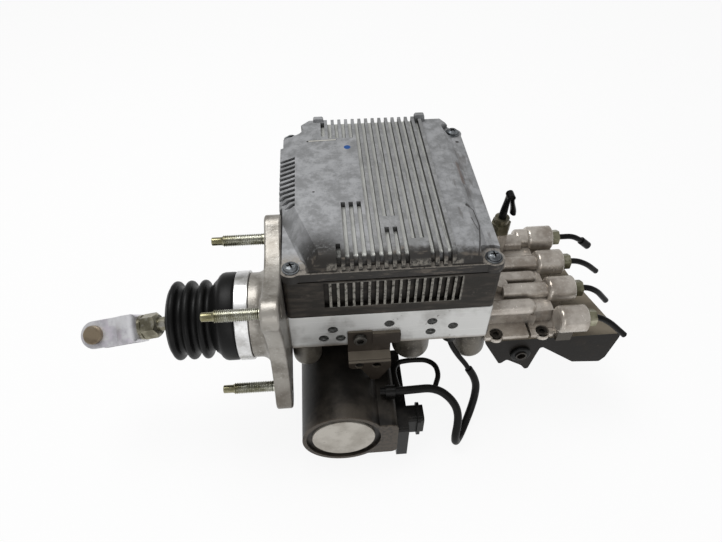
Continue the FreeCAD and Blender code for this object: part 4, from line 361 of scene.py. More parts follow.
def cover_casting():
    cover = Finish("cover casting", 0.35, 0.5, 0.3)
    cover.clouds = cover.noise(105.0, 6.0, 0.70)
    cover.fine = cover.noise(520.0, 4.0, 0.7)
    cover.upward = cover.facing(2).between(0.55, 0.9)
    left, right = FIN_ZONE
    cover.in_fins = cover.x.between(left, left + 0.002) * cover.x.between(right + 0.002, right)
    floor = metal_and_painted_shade(cover)
    front = road_dirt(cover)
    lines, slot = marks(cover)
    cover.paint()
    cover.rough(cover.clouds * 0.14 + front * 0.16 - floor * 0.10 + 0.38)
    cover.metal((1.0 - front) * 0.4)
    grain = cover.noise(2600.0, 2.0, 0.6)
    cover.bump(grain * 0.35 + cover.fine * 0.5 + (1.0 - slot) - lines, 0.0004, 0.5)
    return cover


cover_casting().on("ecu_cover")

# %% [markdown]
# ## The unit's lower housing
# The same casting, but dark with road dirt on its front. Its fins get a painted highlight on their
# front faces, and the gaps between them get painted shade.

# %% Dirty housing
FINS_LOW = (0.0170, 0.0182)
FINS_HIGH = (0.0424, 0.0414)
FINS_LEFT = (0.0405, 0.0425)
FINS_RIGHT = (0.1325, 0.1312)


def unit_housing():
    housing = Finish("dirty unit casting with painted shade", 0.2, 0.62, 0.25)
    fine = housing.noise(380.0, 4.0, 0.7)
    clouds = housing.noise(60.0, 4.0, 0.6)
    proud = housing.facing(1).between(-0.80, -0.95) * housing.y.between(-0.0108, -0.0124)
    clean = housing.mix(linear(104, 102, 98), linear(134, 132, 128), clouds.between(0.4, 0.65))
    smear = housing.noise(90.0, 4.0, 0.6, stretch=(0.5, 1.0, 2.2))
    dirt = housing.mix(linear(40, 37, 33), linear(66, 60, 54), smear.between(0.42, 0.70))
    front = housing.y.between(0.004, -0.004)
    housing.ground(clean, dirt, front)
    # Painted highlight on the front faces of the fins.
    rows = housing.z.between(*FINS_LOW) * housing.z.between(*FINS_HIGH)
    fin_highlight = rows * proud * housing.x.between(*FINS_LEFT) * housing.x.between(*FINS_RIGHT)
    housing.lay(linear(156, 153, 145), fin_highlight * fine.between(0.30, 0.60) * 0.85)
    # Painted shade in the gaps between the fins and in other hollows.
    hollow = housing.crevice(0.006)
    housing.lay(linear(20, 18, 16), hollow.between(0.40, 0.85) * 0.9)
    rub = housing.noise(120.0, 4.0, 0.7).between(0.60, 0.70) * front * (1.0 - fin_highlight)
    housing.lay(linear(92, 85, 77), rub * 0.45)
    housing.paint()
    housing.rough(fine * 0.2 + 0.42)
    housing.bump(fine * 0.5 + clouds * 0.5, 0.0005, 0.5)
    return housing


unit_housing().on("ecu_housing")

# %% [markdown]
# ## The valve block
# A block milled from aluminium keeps straight, bright faces. The cutter leaves very fine lines
# along X, and the lower edge is stained brown.

# %% Milled aluminium


def milled(name, body, shade, metallic):
    block = Finish(name, metallic, 0.34)
    lines = block.noise(260.0, 2.0, 0.5, stretch=(0.08, 1.0, 5.0))
    clouds = block.noise(42.0, 4.0, 0.6)
    fine = block.noise(700.0, 3.0, 0.7)
    block.ground(shade, body, clouds.between(0.30, 0.58))
    block.lay(linear(232, 232, 230), lines.between(0.56, 0.72) * 0.35)
    marks = block.noise(330.0, 3.0, 0.6).between(0.64, 0.70)
    block.lay(linear(96, 92, 86), marks * clouds.between(0.6, 0.4) * 0.8)
    low = block.z + (clouds - 0.5) * 0.006
    block.lay(linear(128, 118, 104), low.between(-0.0215, -0.0265) * 0.8)
    block.paint()
    block.rough(lines * 0.14 + clouds * 0.16 + 0.22)
    block.bump(lines * 0.6 + fine * 0.4, 0.00012, 0.35)
    return block


milled("milled block", linear(206, 206, 204), linear(172, 171, 168), 0.55).on("valve_block")
milled("milled plugs", linear(30, 31, 26), linear(20, 21, 18), 0.1).on("drilling_plugs")
milled("milled manifold", linear(140, 134, 126), linear(96, 90, 82), 0.5).on("manifold")

# %% [markdown]
# ## Cast pieces
# The flange, the outlet casting and the domed caps are plain castings. They differ in how much
# painted shade they get in their hollows and how shiny they are, so one function makes them all from
# its colours. Brown stain gathers low down, and the web under the front outlet gets a dark painted
# shadow.

# %% Castings
WEB_X = (0.2080, 0.2090)
WEB_Y = (-0.0114, -0.0118)
WEB_Z = (-0.0205, -0.0225)


# The dirt argument sets how strongly painted shade darkens the hollows.
def casting(name, body, shade, bright, metallic, roughness, dirt=0.8, stain=0.0):
    cast = Finish(name, metallic, roughness)
    clouds = cast.noise(55.0, 5.0, 0.62)
    pits = cast.noise(520.0, 3.0, 0.65)
    cast.ground(shade, body, clouds.between(0.32, 0.60))
    cast.lay(bright, pits.between(0.56, 0.74) * 0.55)
    # Painted shade in hollows and corners.
    hollow = cast.crevice(0.007)
    cast.lay(linear(58, 52, 46), hollow.between(0.30, 0.90) * dirt)
    low = cast.z + (clouds - 0.5) * 0.02
    cast.lay(linear(84, 76, 66), low.between(-0.012, -0.040) * stain)
    # Painted shadow under the web of the front outlet.
    web_shadow = cast.y.between(*WEB_Y) * cast.z.between(*WEB_Z) * cast.x.between(*WEB_X)
    cast.lay(linear(66, 60, 52), web_shadow)
    cast.paint()
    cast.rough(clouds * 0.16 + pits * 0.10 + (roughness - 0.13))
    cast.bump(pits * 0.6 + clouds * 0.8, 0.0006, 0.45)
    return cast


casting(
    "flange casting", linear(160, 156, 149), linear(120, 115, 107), linear(200, 198, 192),
    metallic=0.5, roughness=0.36, dirt=0.8, stain=0.6,
).on("booster_housing")
casting(
    "outlet casting", linear(196, 189, 180), linear(154, 145, 135), linear(228, 223, 215),
    metallic=0.55, roughness=0.24, dirt=0.75,
).on("outlet_body")
casting(
    "cap casting", linear(102, 97, 88), linear(66, 61, 54), linear(146, 140, 130),
    metallic=0.45, roughness=0.40,
).on("accumulator_caps")

# %% [markdown]
# ## The pump's motor
# Its can is nearly black at the back and dusty towards its front rim, with a few pale rubs. The disc
# in its end is a clean pressed lid, warm light grey.

# %% Motor finishes
DUST_FROM = -0.034
RIM_FROM = -0.0585


def motor_can():
    can = Finish("motor can", 0.25, 0.5, 0.2)
    fine = can.noise(300.0, 4.0, 0.7)
    clouds = can.noise(34.0, 4.0, 0.6)
    can.ground(linear(26, 24, 22), linear(48, 45, 41), clouds.between(0.38, 0.68))
    dust = can.y.between(DUST_FROM, RIM_FROM) * clouds.between(0.32, 0.64)
    can.lay(linear(78, 72, 65), dust * 0.8)
    rim = can.y.between(RIM_FROM, RIM_FROM - 0.0013)
    can.lay(linear(80, 72, 63), rim * fine.between(0.3, 0.6) * 0.9)
    rub = can.noise(60.0, 5.0, 0.75).between(0.65, 0.73)
    can.lay(linear(112, 106, 97), rub * 0.5)
    can.paint()
    can.rough(clouds * 0.2 + fine * 0.12 + 0.30)
    can.bump(fine * 0.6 + clouds * 0.4, 0.0004, 0.4)
    return can


def pressed_lid():
    lid = Finish("pressed lid", 0.45, 0.42)
    clouds = lid.noise(48.0, 5.0, 0.6)
    fine = lid.noise(500.0, 3.0, 0.7)
    lid.ground(linear(156, 150, 140), linear(186, 181, 172), clouds.between(0.34, 0.62))
    lid.lay(linear(126, 119, 108), clouds.between(0.34, 0.24) * 0.8)
    lid.lay(linear(112, 106, 98), fine.between(0.62, 0.72) * 0.5)
    lid.paint()
    lid.rough(clouds * 0.2 + 0.32)
    lid.bump(fine + clouds, 0.0002, 0.3)
    return lid


motor_can().on("pump_housing")
pressed_lid().on("pump_end_cap")

# %% [markdown]
# ## Plated steel
# Zinc plating is bright and a little blue; with a yellow passivation it turns olive. Handling
# leaves cloudy patches.

# %% Plated steel


def plated(name, body, shade, tint, metallic=0.85, roughness=0.32, patch=90.0):
    plate = Finish(name, metallic, roughness)
    clouds = plate.noise(patch, 4.0, 0.6)
    fine = plate.noise(900.0, 3.0, 0.65)
    plate.ground(shade, body, clouds.between(0.34, 0.60))
    plate.lay(tint, plate.noise(patch * 1.7, 3.0).between(0.52, 0.68) * 0.6)
    plate.lay(shade, fine.between(0.60, 0.74) * 0.6)
    plate.paint()
    plate.rough(clouds * 0.18 + fine * 0.08 + (roughness - 0.12))
    plate.bump(fine, 0.00008, 0.3)
    return plate


BRIGHT_ZINC = plated(
    "bright zinc", linear(226, 226, 229), linear(192, 190, 196), linear(212, 204, 216), 0.6, 0.36)
BRIGHT_ZINC.on("clevis")
PALE_NUT = plated(
    "rod nut zinc", linear(156, 152, 134), linear(106, 102, 86), linear(190, 188, 182))
PALE_NUT.on("lock_nut", "pushrod")
OLIVE = plated(
    "olive zinc", linear(128, 124, 106), linear(92, 88, 70), linear(176, 172, 158), 0.75, 0.34)
OLIVE.on("inlet_union")
PIN_ZINC = plated(
    "pin zinc", linear(142, 128, 108), linear(110, 97, 80), linear(150, 140, 126), 0.7, 0.42)
PIN_ZINC.on("clevis_pin")
NUT_ZINC = plated(
    "green zinc", linear(142, 140, 118), linear(98, 96, 76), linear(184, 180, 160), 0.8, 0.30)
NUT_ZINC.on("tube_nuts")
RING = plated(
    "bright ring", linear(222, 222, 222), linear(190, 189, 187), linear(236, 236, 236), 0.9, 0.3)
RING.on("boot_retainer_ring")
STEEL = plated(
    "ground steel", linear(176, 176, 176), linear(140, 140, 140), linear(190, 190, 192))
STEEL.on("housing_screws", "input_piston", "return_spring", "pin_clip", "manifold_screws")
STEEL.on("pump_plungers", "plunger_plugs", "pump_rotor", "rotor_bearings", "pump_screws")
SCREW = plated(
    "dark screw", linear(74, 71, 66), linear(44, 42, 39), linear(104, 101, 96), 0.6, 0.4)
SCREW.on("front_bracket_bolt")
EAR_BOLT = plated(
    "oily bolt", linear(52, 47, 42), linear(30, 27, 24), linear(84, 78, 70), 0.6, 0.4)
EAR_BOLT.on("ear_bolts", "grommet_sleeve")
CONTACT = plated(
    "contact plating", linear(190, 160, 92), linear(150, 122, 66), linear(206, 180, 120))
CONTACT.on("connector_pins")

# %% [markdown]
# ## Painted brackets
# Thin pressed sheet, painted dark and dusty. Dust lies on what faces up, and the paint has gone
# pale in patches.

# %% Bracket paint


def bracket_paint(name, dark, worn, dusty, level):
    paint = Finish(name, 0.1, 0.5, 0.15)
    clouds = paint.noise(60.0, 4.0, 0.62)
    fine = paint.noise(620.0, 3.0, 0.7)
    upward = paint.facing(2).between(0.25, 0.85)
    paint.ground(dark, worn, clouds.between(0.50, 0.75) * 0.6)
    paint.lay(dusty, (upward * (clouds * 0.5 + 0.6)).clamped() * level)
    paint.lay(dusty, fine.between(0.66, 0.76) * 0.35)
    paint.paint()
    paint.rough(clouds * 0.2 + 0.38)
    paint.bump(fine * 0.5 + clouds, 0.0003, 0.4)
    return paint


bracket_paint(
    "front bracket paint", linear(52, 46, 40), linear(82, 74, 66), linear(118, 110, 98), 0.9,
).on("front_bracket")
bracket_paint(
    "side bracket paint", linear(24, 21, 18), linear(46, 40, 34), linear(136, 127, 112), 0.95,
).on("side_bracket")

# %% [markdown]
# ## Rubber and plastic
# Black parts are never quite black: dust and scuffs lift them a little, and rubber is duller than
# the moulded plugs.

# %% Rubber, plastic and inner pieces


def dark_moulding(name, body, dust, roughness, grain, amount):
    moulding = Finish(name, 0.0, roughness, 0.16)
    clouds = moulding.noise(70.0, 4.0, 0.6)
    fine = moulding.noise(grain, 3.0, 0.65)
    moulding.ground(body, dust, clouds.between(0.48, 0.75) * amount)
    moulding.lay(dust, fine.between(0.64, 0.76) * amount * 0.7)
    moulding.paint()
    moulding.rough(clouds * 0.18 + (roughness - 0.09))
    moulding.bump(fine * 0.7 + clouds * 0.5, 0.00025, 0.4)
    return moulding


RUBBER = dark_moulding("boot rubber", linear(17, 17, 17), linear(40, 39, 38), 0.42, 700.0, 0.4)
RUBBER.on("piston_seal", "bracket_grommet", "ecu_gasket")
SLEEVE = dark_moulding("lead sleeve", linear(13, 12, 11), linear(38, 35, 31), 0.45, 1500.0, 0.4)
SLEEVE.on("harness_main", "harness_tail", "harness_link")
PLASTIC = dark_moulding("black plastic", linear(16, 15, 14), linear(46, 43, 39), 0.36, 900.0, 0.4)
PLASTIC.on("motor_connector", "rear_connector", "harness_clip", "lead_gland", "solenoid_coils")
COATING = dark_moulding("pipe coating", linear(11, 11, 11), linear(40, 38, 36), 0.26, 900.0, 0.3)
COATING.on("outlet_pipe_1", "outlet_pipe_2", "outlet_pipe_3", "outlet_pipe_4", "inlet_pipe")
BUSH = dark_moulding("bush plastic", linear(70, 70, 68), linear(104, 102, 98), 0.5, 800.0, 0.5)
BUSH.on("guide_bush")
BOARD = dark_moulding("board green", linear(20, 84, 46), linear(60, 110, 70), 0.4, 400.0, 0.5)
BOARD.on("circuit_board")
MAGNET = dark_moulding("magnet ferrite", linear(46, 46, 48), linear(80, 80, 82), 0.6, 500.0, 0.5)
MAGNET.on("motor_magnets")

# %% [markdown]
# ## Turning a piece
# Studs, screw heads and the boot are all round. On a lathe they would be turned from an outline,
# and in edit mode the same is done with a ring: extrude it along its axis, then scale it to the
# next radius. The function keeps the ring's centre, so the outline may also sag to one side.

# %% A small lathe in edit mode


def start_edit(name, radius, segments, height, side, fill):
    bpy.ops.object.select_all(action="DESELECT")
    bpy.ops.mesh.primitive_circle_add(
        vertices=segments, radius=radius, fill_type=fill, location=(0.0, 0.0, 0.0))
    piece = bpy.context.object
    piece.name = name
    piece.data.name = name
    bpy.ops.object.mode_set(mode="EDIT")
    bpy.ops.mesh.select_mode(type="VERT")
    bpy.ops.mesh.select_all(action="SELECT")
    bpy.ops.transform.translate(value=(side, 0.0, height))
    return piece


def turned(name, outline, segments=32, hollow=False):
    """Piece of revolution about Z from (height, radius) or (height, radius, sideways shift)."""
    steps = [(*step, 0.0)[:3] for step in outline]
    height, radius, side = steps[0]
    piece = start_edit(name, radius, segments, height, side, "NOTHING" if hollow else "NGON")
    for next_height, next_radius, next_side in steps[1:]:
        move = (next_side - side, 0.0, next_height - height)
        bpy.ops.mesh.extrude_region_move(TRANSFORM_OT_translate={"value": move})
        grow = next_radius / radius
        centre = (next_side, 0.0, next_height)
        bpy.ops.transform.resize(value=(grow, grow, 1.0), center_override=centre)
        height, radius, side = next_height, next_radius, next_side
    bpy.ops.mesh.select_all(action="SELECT")
    bpy.ops.mesh.remove_doubles(threshold=1e-7)
    bpy.ops.mesh.normals_make_consistent(inside=False)
    bpy.ops.object.mode_set(mode="OBJECT")
    return piece


def put(piece, matrix):
    """Move a finished piece's mesh to its place and leave its object at the origin."""
    bpy.ops.object.select_all(action="DESELECT")
    piece.select_set(True)
    bpy.context.view_layer.objects.active = piece
    piece.matrix_world = matrix @ piece.matrix_world
    bpy.ops.object.transform_apply(location=True, rotation=True, scale=True)
    return piece


def smooth(piece, angle=35.0):
    bpy.ops.object.select_all(action="DESELECT")
    piece.select_set(True)
    bpy.context.view_layer.objects.active = piece
    bpy.ops.object.shade_smooth_by_angle(angle=math.radians(angle))
    return piece


def copy_of(piece, name):
    twin = piece.copy()
    twin.data = piece.data.copy()
    twin.name = name
    bpy.context.scene.collection.objects.link(twin)
    return twin


def join(pieces, name):
    bpy.ops.object.select_all(action="DESELECT")
    for piece in pieces:
        piece.select_set(True)
    bpy.context.view_layer.objects.active = pieces[0]
    if len(pieces) > 1:
        bpy.ops.object.join()
    joined = bpy.context.object
    joined.name = name
    return joined


def dress(piece, finish, body, slot, *nodes):
    """Finish, slot and the body a piece rides on; a piece that stretches between bodies has none. The
    slot is not used.
    """
    piece.data.materials.clear()
    piece.data.materials.append(finish.material)
    if body:
        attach(piece, body)
    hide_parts(*nodes)
    print(piece.name, len(piece.data.polygons), "faces, stands for", ", ".join(nodes))


# %% [markdown]
# ## The studs
# Four M8 studs stand out of the flange. Their thread is what one sees first, so it is cut as real
# rings, one for each turn of a 1.25 mm pitch, and the tip is the plain, thinner dog point.

# %% Threaded studs
STUD_R = 0.0040
STUD_ROOT_R = 0.00345
STUD_OUT = 0.0376
STUD_IN = 0.0110
STUD_DOG = 0.0065
STUD_DOG_R = 0.0029
STUD_PLACES = [(sy * 0.034, sz * 0.041) for sy in (-1, 1) for sz in (-1, 1)]
PITCH = 0.00125
THREAD_FROM = 0.0022
DOG_EDGE = 0.0004


def thread(start, end, crest, root, pitch):
    """Outline of a thread's turns between two heights."""
    steps = []
    turns = int(round((end - start) / pitch))
    for i in range(turns):
        base = start + i * pitch
        steps += [(base + 0.12 * pitch, root), (base + 0.44 * pitch, crest), (base + 0.60 * pitch, crest)]
        steps += [(base + 0.92 * pitch, root)]
    return steps


def stud():
    dog_start = STUD_OUT - STUD_DOG
    outline = [(-STUD_IN, STUD_R), (THREAD_FROM - 0.0002, STUD_R)]
    outline += thread(THREAD_FROM, dog_start - 0.0012, STUD_R, STUD_ROOT_R, PITCH)
    outline += [(dog_start, STUD_DOG_R), (STUD_OUT - DOG_EDGE, STUD_DOG_R)]
    outline += [(STUD_OUT, STUD_DOG_R - DOG_EDGE)]
    return smooth(turned("stud", outline, 28), 40)


def stud_finish():
    zinc = Finish("yellow zinc stud", 0.9, 0.30)
    clouds = zinc.noise(110.0, 3.0, 0.6)
    fine = zinc.noise(1200.0, 2.0, 0.6)
    zinc.ground(linear(140, 138, 116), linear(190, 190, 178), clouds.between(0.36, 0.62))
    zinc.lay(linear(212, 212, 206), fine.between(0.52, 0.70) * 0.6)
    outer = zinc.x.between(-0.020, -0.031)
    zinc.lay(linear(128, 122, 84), outer * 0.7)
    # Painted shade in the roots of the thread.
    root = zinc.crevice(0.0009)
    zinc.lay(linear(58, 58, 38), root.between(0.25, 0.60) * 0.9)
    zinc.paint()
    zinc.rough(clouds * 0.2 + 0.20)
    zinc.bump(fine, 0.00006, 0.3)
    return zinc


first_stud = stud()
studs = []
for index, (y, z) in enumerate(STUD_PLACES):
    one = copy_of(first_stud, f"stud_{index}")
    studs.append(put(one, Matrix.Translation((0.0, y, z)) @ Matrix.Rotation(math.radians(-90), 4, "Y")))
bpy.data.objects.remove(first_stud)
all_studs = join(studs, "threaded_studs")
dress(all_studs, stud_finish(), "housing", "yellow_zinc", "mounting_studs")

# %% [markdown]
# ## The cover's screws
# Pan heads with a cross recess, grey-blue, with painted shade making the cross black. The recess is made
# in the
# top face: inset a small disc, pull every second pair of its corners to the middle, sink it.

# %% Cross-head screws
HEAD_R = 0.0058
HEAD_H = 0.0037
SHANK_R = 0.0025
SCREW_LEN = 0.0350
SCREW_PLACES = [(x, y) for x in (0.0183, 0.1509) for y in (-0.0066, 0.1394)]
CROSS_R = 0.0026
CROSS_WAIST = 0.42
CROSS_DEPTH = 0.0017
CROSS_TAPER = 0.7


def cross_head():
    outline = [
        (-SCREW_LEN, SHANK_R), (0.0, SHANK_R), (0.0, HEAD_R), (0.0009, HEAD_R),
        (0.0012, HEAD_R - 0.0003), (0.0012, HEAD_R - 0.0010), (0.0024, HEAD_R - 0.0013),
        (0.0033, HEAD_R - 0.0023), (HEAD_H, HEAD_R - 0.0032), (HEAD_H, CROSS_R),
    ]
    piece = turned("screw", outline, 24)
    bpy.ops.object.mode_set(mode="EDIT")
    bpy.ops.mesh.select_mode(type="VERT")
    bpy.ops.mesh.select_all(action="DESELECT")
    bpy.ops.object.mode_set(mode="OBJECT")
    for vertex in piece.data.vertices:
        place = vertex.co
        on_ring = abs(place.z - HEAD_H) < 1e-6 and abs(place.xy.length - CROSS_R) < 1e-5
        around = math.degrees(math.atan2(place.y, place.x)) % 90
        vertex.select = on_ring and 20 < around < 70
    bpy.ops.object.mode_set(mode="EDIT")
    bpy.ops.transform.resize(value=(CROSS_WAIST, CROSS_WAIST, 1.0), center_override=(0.0, 0.0, HEAD_H))
    bpy.ops.mesh.select_mode(type="FACE")
    bpy.ops.mesh.select_all(action="DESELECT")
    bpy.ops.object.mode_set(mode="OBJECT")
    for face in piece.data.polygons:
        face.select = len(face.vertices) > 20 and face.center.z > HEAD_H - 0.0001
    bpy.ops.object.mode_set(mode="EDIT")
    bpy.ops.mesh.extrude_region_move(TRANSFORM_OT_translate={"value": (0.0, 0.0, -CROSS_DEPTH)})
    bottom = (0.0, 0.0, HEAD_H - CROSS_DEPTH)
    bpy.ops.transform.resize(value=(CROSS_TAPER, CROSS_TAPER, 1.0), center_override=bottom)
    bpy.ops.object.mode_set(mode="OBJECT")
    return smooth(piece, 30)


def cross_finish():
    head = Finish("cross screw", 0.6, 0.40, 0.3)
    clouds = head.noise(160.0, 4.0, 0.6)
    fine = head.noise(900.0, 2.0, 0.6)
    head.ground(linear(80, 83, 86), linear(126, 130, 133), clouds.between(0.36, 0.62))
    head.lay(linear(70, 68, 64), fine.between(0.60, 0.72) * 0.6)
    # Painted shade: the sunk cross is made black.
    sunk = head.z.between(COVER_SEAT + 0.0036, COVER_SEAT + 0.0030)
    head.lay(linear(20, 18, 17), sunk * head.crevice(0.003).between(0.10, 0.35))
    head.paint()
    head.rough(clouds * 0.2 + 0.26)
    return head


first_screw = cross_head()
screws = []
for index, (x, y) in enumerate(SCREW_PLACES):
    one = copy_of(first_screw, f"screw_{index}")
    turn = Matrix.Rotation(math.radians(20 + 37 * index), 4, "Z")
    screws.append(put(one, Matrix.Translation((x, y, COVER_SEAT)) @ turn))
bpy.data.objects.remove(first_screw)
all_screws = join(screws, "cross_head_screws")
dress(all_screws, cross_finish(), "housing", "dark_screw", "cover_screws")

# %% [markdown]
# ## The boot
# Soft rubber: a smooth cuff held by the steel ring, three round bellows, and a domed end that
# closes on the rod. Under its own weight the bellows hang a little below the axis. The first
# piece stretches from the neck to the input piston, and the dome follows the rod.

# %% Boot outline
CUFF_FROM = 0.0127
CUFF_RING_R = 0.0294
CUFF_R = 0.0312
CUFF_BULGE = 0.0221
CUFF_FRONT = 0.0332
NECK_GAP_R = 0.0284
CREST_R = 0.0280
BELLOWS_FIRST = 0.0450
BELLOWS_PITCH = 0.00975
WALL = 0.0015
SAG = 0.0018
SAG_FROM = 0.034
SAG_TO = 0.046
MOUTH_AT = 0.0715
MOUTH_R = 0.0090
DOME_R = 0.0225
BALL_AT = 0.053
BOOT_SIDES = 72
WAVE_STEPS = 8
DOME_OUTSIDE = (
    (-0.0026, 0.0222), (-0.0016, 0.0185), (-0.0007, 0.0140), (-0.0001, 0.0105), (0.0007, MOUTH_R),
    (0.0019, 0.0084), (0.0023, 0.0072), (0.0021, 0.0058), (-0.0015, 0.0056),
)
DOME_INSIDE = ((-0.0017, 0.0085), (-0.0019, 0.0120), (-0.0031, 0.0180), (-0.0047, 0.0222))
ROD_FALL = math.tan(math.radians(10.0))


def hang(at):
    part = min(1.0, max(0.0, (at - SAG_FROM) / (SAG_TO - SAG_FROM)))
    return SAG * part * part * (3 - 2 * part)


def wave(offset):
    """Points of the three bellows, each (distance from the flange, radius)."""
    points = []
    bend = BELLOWS_PITCH / 4
    level = CREST_R - bend
    for i in range(3):
        crest = BELLOWS_FIRST + i * BELLOWS_PITCH
        for centre, sign in ((crest - BELLOWS_PITCH / 2, -1), (crest, 1)):
            size = bend - sign * offset
            for step in range(WAVE_STEPS):
                angle = math.pi * (step + 0.5) / WAVE_STEPS
                points.append((centre - size * math.cos(angle), level + sign * size * math.sin(angle)))
    return points


outer = [
    (CUFF_FROM, CUFF_RING_R), (CUFF_BULGE - 0.0006, CUFF_RING_R), (CUFF_BULGE, CUFF_RING_R + 0.0008),
    (CUFF_BULGE + 0.0005, CUFF_R - 0.0004), (CUFF_BULGE + 0.0015, CUFF_R), (CUFF_FRONT - 0.0030, CUFF_R),
    (CUFF_FRONT - 0.0012, CUFF_R - 0.0005), (CUFF_FRONT + 0.0004, CUFF_R - 0.0018),
    (CUFF_FRONT + 0.0016, CUFF_R - 0.0036),
]
outer += [point for point in wave(0.0) if point[0] > CUFF_FRONT + 0.0024]
inner = [(CUFF_FRONT + 0.0010, NECK_GAP_R - 0.0006)]
inner += [point for point in wave(WALL) if point[0] > CUFF_FRONT + 0.0030]
loop = [(CUFF_FROM, NECK_GAP_R)] + outer + list(reversed(inner)) + [(CUFF_FROM, NECK_GAP_R)]
loop = [(at, radius, -hang(at)) for at, radius in loop]
TO_BOOT = Matrix.Rotation(math.radians(-90), 4, "Y")

bellows = smooth(put(turned("boot_bellows", loop, BOOT_SIDES, hollow=True), TO_BOOT), 60)
dress(bellows, RUBBER, None, "rubber", "boot")

# %% Domed end
last_at, last_r = outer[-1]
dome = [(last_at, last_r), (last_at + 0.0012, last_r - 0.0016)]
dome += [(MOUTH_AT + at, radius) for at, radius in DOME_OUTSIDE]
dome += [(MOUTH_AT + at, radius) for at, radius in DOME_INSIDE]
dome += [(last_at - 0.0004, last_r - 0.0016), dome[0]]
mouth_fall = ROD_FALL * (MOUTH_AT - BALL_AT)
lean = []
for at, radius in dome:
    toward = min(1.0, max(0.0, (DOME_R - radius) / (DOME_R - MOUTH_R)))
    lean.append((at, radius, -(SAG * (1 - toward) + mouth_fall * toward)))
dome_piece = smooth(put(turned("boot_dome", lean, BOOT_SIDES, hollow=True), TO_BOOT), 60)
dress(dome_piece, RUBBER, None, "rubber", "boot")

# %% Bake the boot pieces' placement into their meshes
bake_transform(bellows)
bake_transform(dome_piece)

# %% [markdown]
# ## The return spring
# It sits inside the neck between the input piston and the valve block, and in the car it gets
# shorter as the piston goes in. One ring of wire is swept along a screw line.

# %% Coil spring
SPRING_WIRE_R = 0.0009
SPRING_TURNS = 7
COIL_STEPS = 28


def coil_spring(radius, length):
    piece = start_edit("coil_spring", SPRING_WIRE_R, 12, 0.0, 0.0, "NOTHING")
    bpy.ops.transform.rotate(value=math.pi / 2, orient_axis="X", center_override=(0.0, 0.0, 0.0))
    bpy.ops.transform.translate(value=(radius, 0.0, 0.0))
    bpy.ops.object.mode_set(mode="OBJECT")
    bpy.ops.object.modifier_add(type="SCREW")
    screw = piece.modifiers[-1]
    screw.angle = 2 * math.pi
    screw.screw_offset = length / SPRING_TURNS
    screw.iterations = SPRING_TURNS
    screw.steps = COIL_STEPS
    screw.render_steps = COIL_STEPS
    bpy.ops.object.modifier_apply(modifier=screw.name)
    bpy.ops.object.mode_set(mode="EDIT")
    bpy.ops.mesh.select_all(action="SELECT")
    bpy.ops.mesh.remove_doubles(threshold=1e-7)
    bpy.ops.mesh.fill_holes(sides=0)
    bpy.ops.mesh.normals_make_consistent(inside=False)
    bpy.ops.object.mode_set(mode="OBJECT")
    return smooth(piece, 60)


spring_low, spring_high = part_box("return_spring")
spring_r = (spring_high.y - spring_low.y) / 2 - SPRING_WIRE_R
spring_len = spring_high.x - spring_low.x - 2 * SPRING_WIRE_R
along_x = Matrix.Rotation(math.radians(90), 4, "Y")
start_at = Matrix.Translation((spring_low.x + SPRING_WIRE_R, 0.0, 0.0))
spring = put(coil_spring(spring_r, spring_len), start_at @ along_x)
dress(spring, STEEL, "housing", "steel", "return_spring")
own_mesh(spring)

# %% [markdown]
# ## Floor and light
# The part lies on a plain white floor that glows a little to the camera and in reflections, and still
# takes a soft shadow. The room gives less than half of the light. A large lamp high at the back left
# models the ribs, and a weaker one lifts the front.

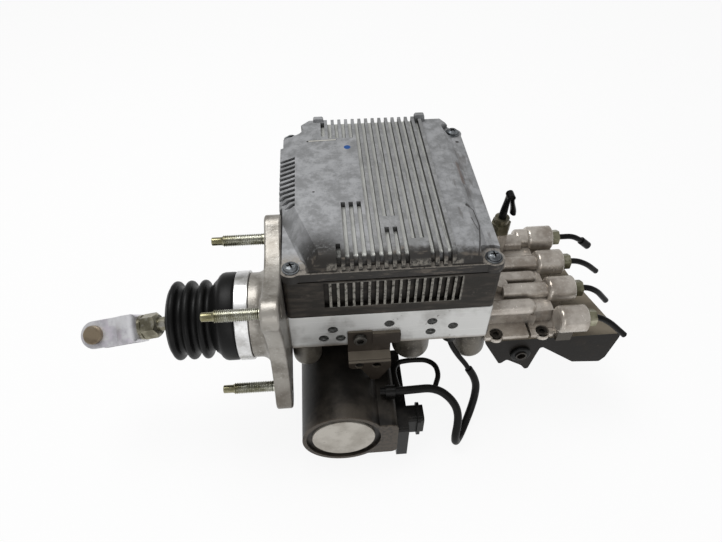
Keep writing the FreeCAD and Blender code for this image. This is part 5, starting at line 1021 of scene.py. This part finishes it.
# %% Floor
FLOOR_Z = -0.1134
WHITE = (1.0, 1.0, 1.0, 1.0)
PAPER = (0.9, 0.9, 0.9, 1.0)
GLOW_SHARE = 0.90
bpy.ops.object.select_all(action="DESELECT")
bpy.ops.mesh.primitive_plane_add(size=6.0, location=(0.0, 0.0, FLOOR_Z))
floor_sheet = bpy.context.object
floor_sheet.name = "floor"
paper = bpy.data.materials.new("white floor")
paper.use_nodes = True
tree = paper.node_tree
matt = tree.nodes["Principled BSDF"]
matt.inputs["Base Color"].default_value = PAPER
matt.inputs["Roughness"].default_value = 0.9
glow = add_node(tree, "ShaderNodeEmission", {}, {"Color": WHITE})
rays = add_node(tree, "ShaderNodeLightPath", {}, {}).outputs
both = {0: rays["Is Camera Ray"], 1: rays["Is Glossy Ray"]}
seen = add_node(tree, "ShaderNodeMath", {"operation": "MAXIMUM"}, both)
lit = {0: seen.outputs[0], 1: GLOW_SHARE}
share = add_node(tree, "ShaderNodeMath", {"operation": "MULTIPLY"}, lit)
shaders = {0: share.outputs[0], 1: matt.outputs[0], 2: glow.outputs[0]}
blend_floor = add_node(tree, "ShaderNodeMixShader", {}, shaders)
tree.links.new(blend_floor.outputs[0], tree.nodes["Material Output"].inputs["Surface"])
floor_sheet.data.materials.append(paper)

# %% Light
ROOM_LIGHT = 0.42
world = bpy.data.worlds.new("white room")
bpy.context.scene.world = world
world.use_nodes = True
room = world.node_tree
back = room.nodes["Background"]
back.inputs["Color"].default_value = WHITE
back.inputs["Strength"].default_value = ROOM_LIGHT
plain = add_node(room, "ShaderNodeBackground", {}, {"Color": WHITE, "Strength": 1.0})
to_camera = add_node(room, "ShaderNodeLightPath", {}, {}).outputs["Is Camera Ray"]
shaders = {0: to_camera, 1: back.outputs[0], 2: plain.outputs[0]}
room_mix = add_node(room, "ShaderNodeMixShader", {}, shaders)
room.links.new(room_mix.outputs[0], room.nodes["World Output"].inputs["Surface"])


def lamp(name, place, target, size, power):
    """Square lamp that looks at a point."""
    data = bpy.data.lights.new(name, "AREA")
    data.shape = "SQUARE"
    data.size = size
    data.energy = power
    light = bpy.data.objects.new(name, data)
    light.location = place
    light.rotation_euler = (Vector(target) - Vector(place)).to_track_quat("-Z", "Y").to_euler()
    bpy.context.scene.collection.objects.link(light)
    print(name, power, "W")


lamp("top lamp", (-0.15, 0.25, 0.95), (0.06, 0.03, 0.0), 0.55, 6.6)
lamp("front lamp", (0.10, -0.95, 0.30), (0.08, 0.0, 0.0), 0.6, 2.0)
bpy.context.scene.view_settings.view_transform = "Standard"
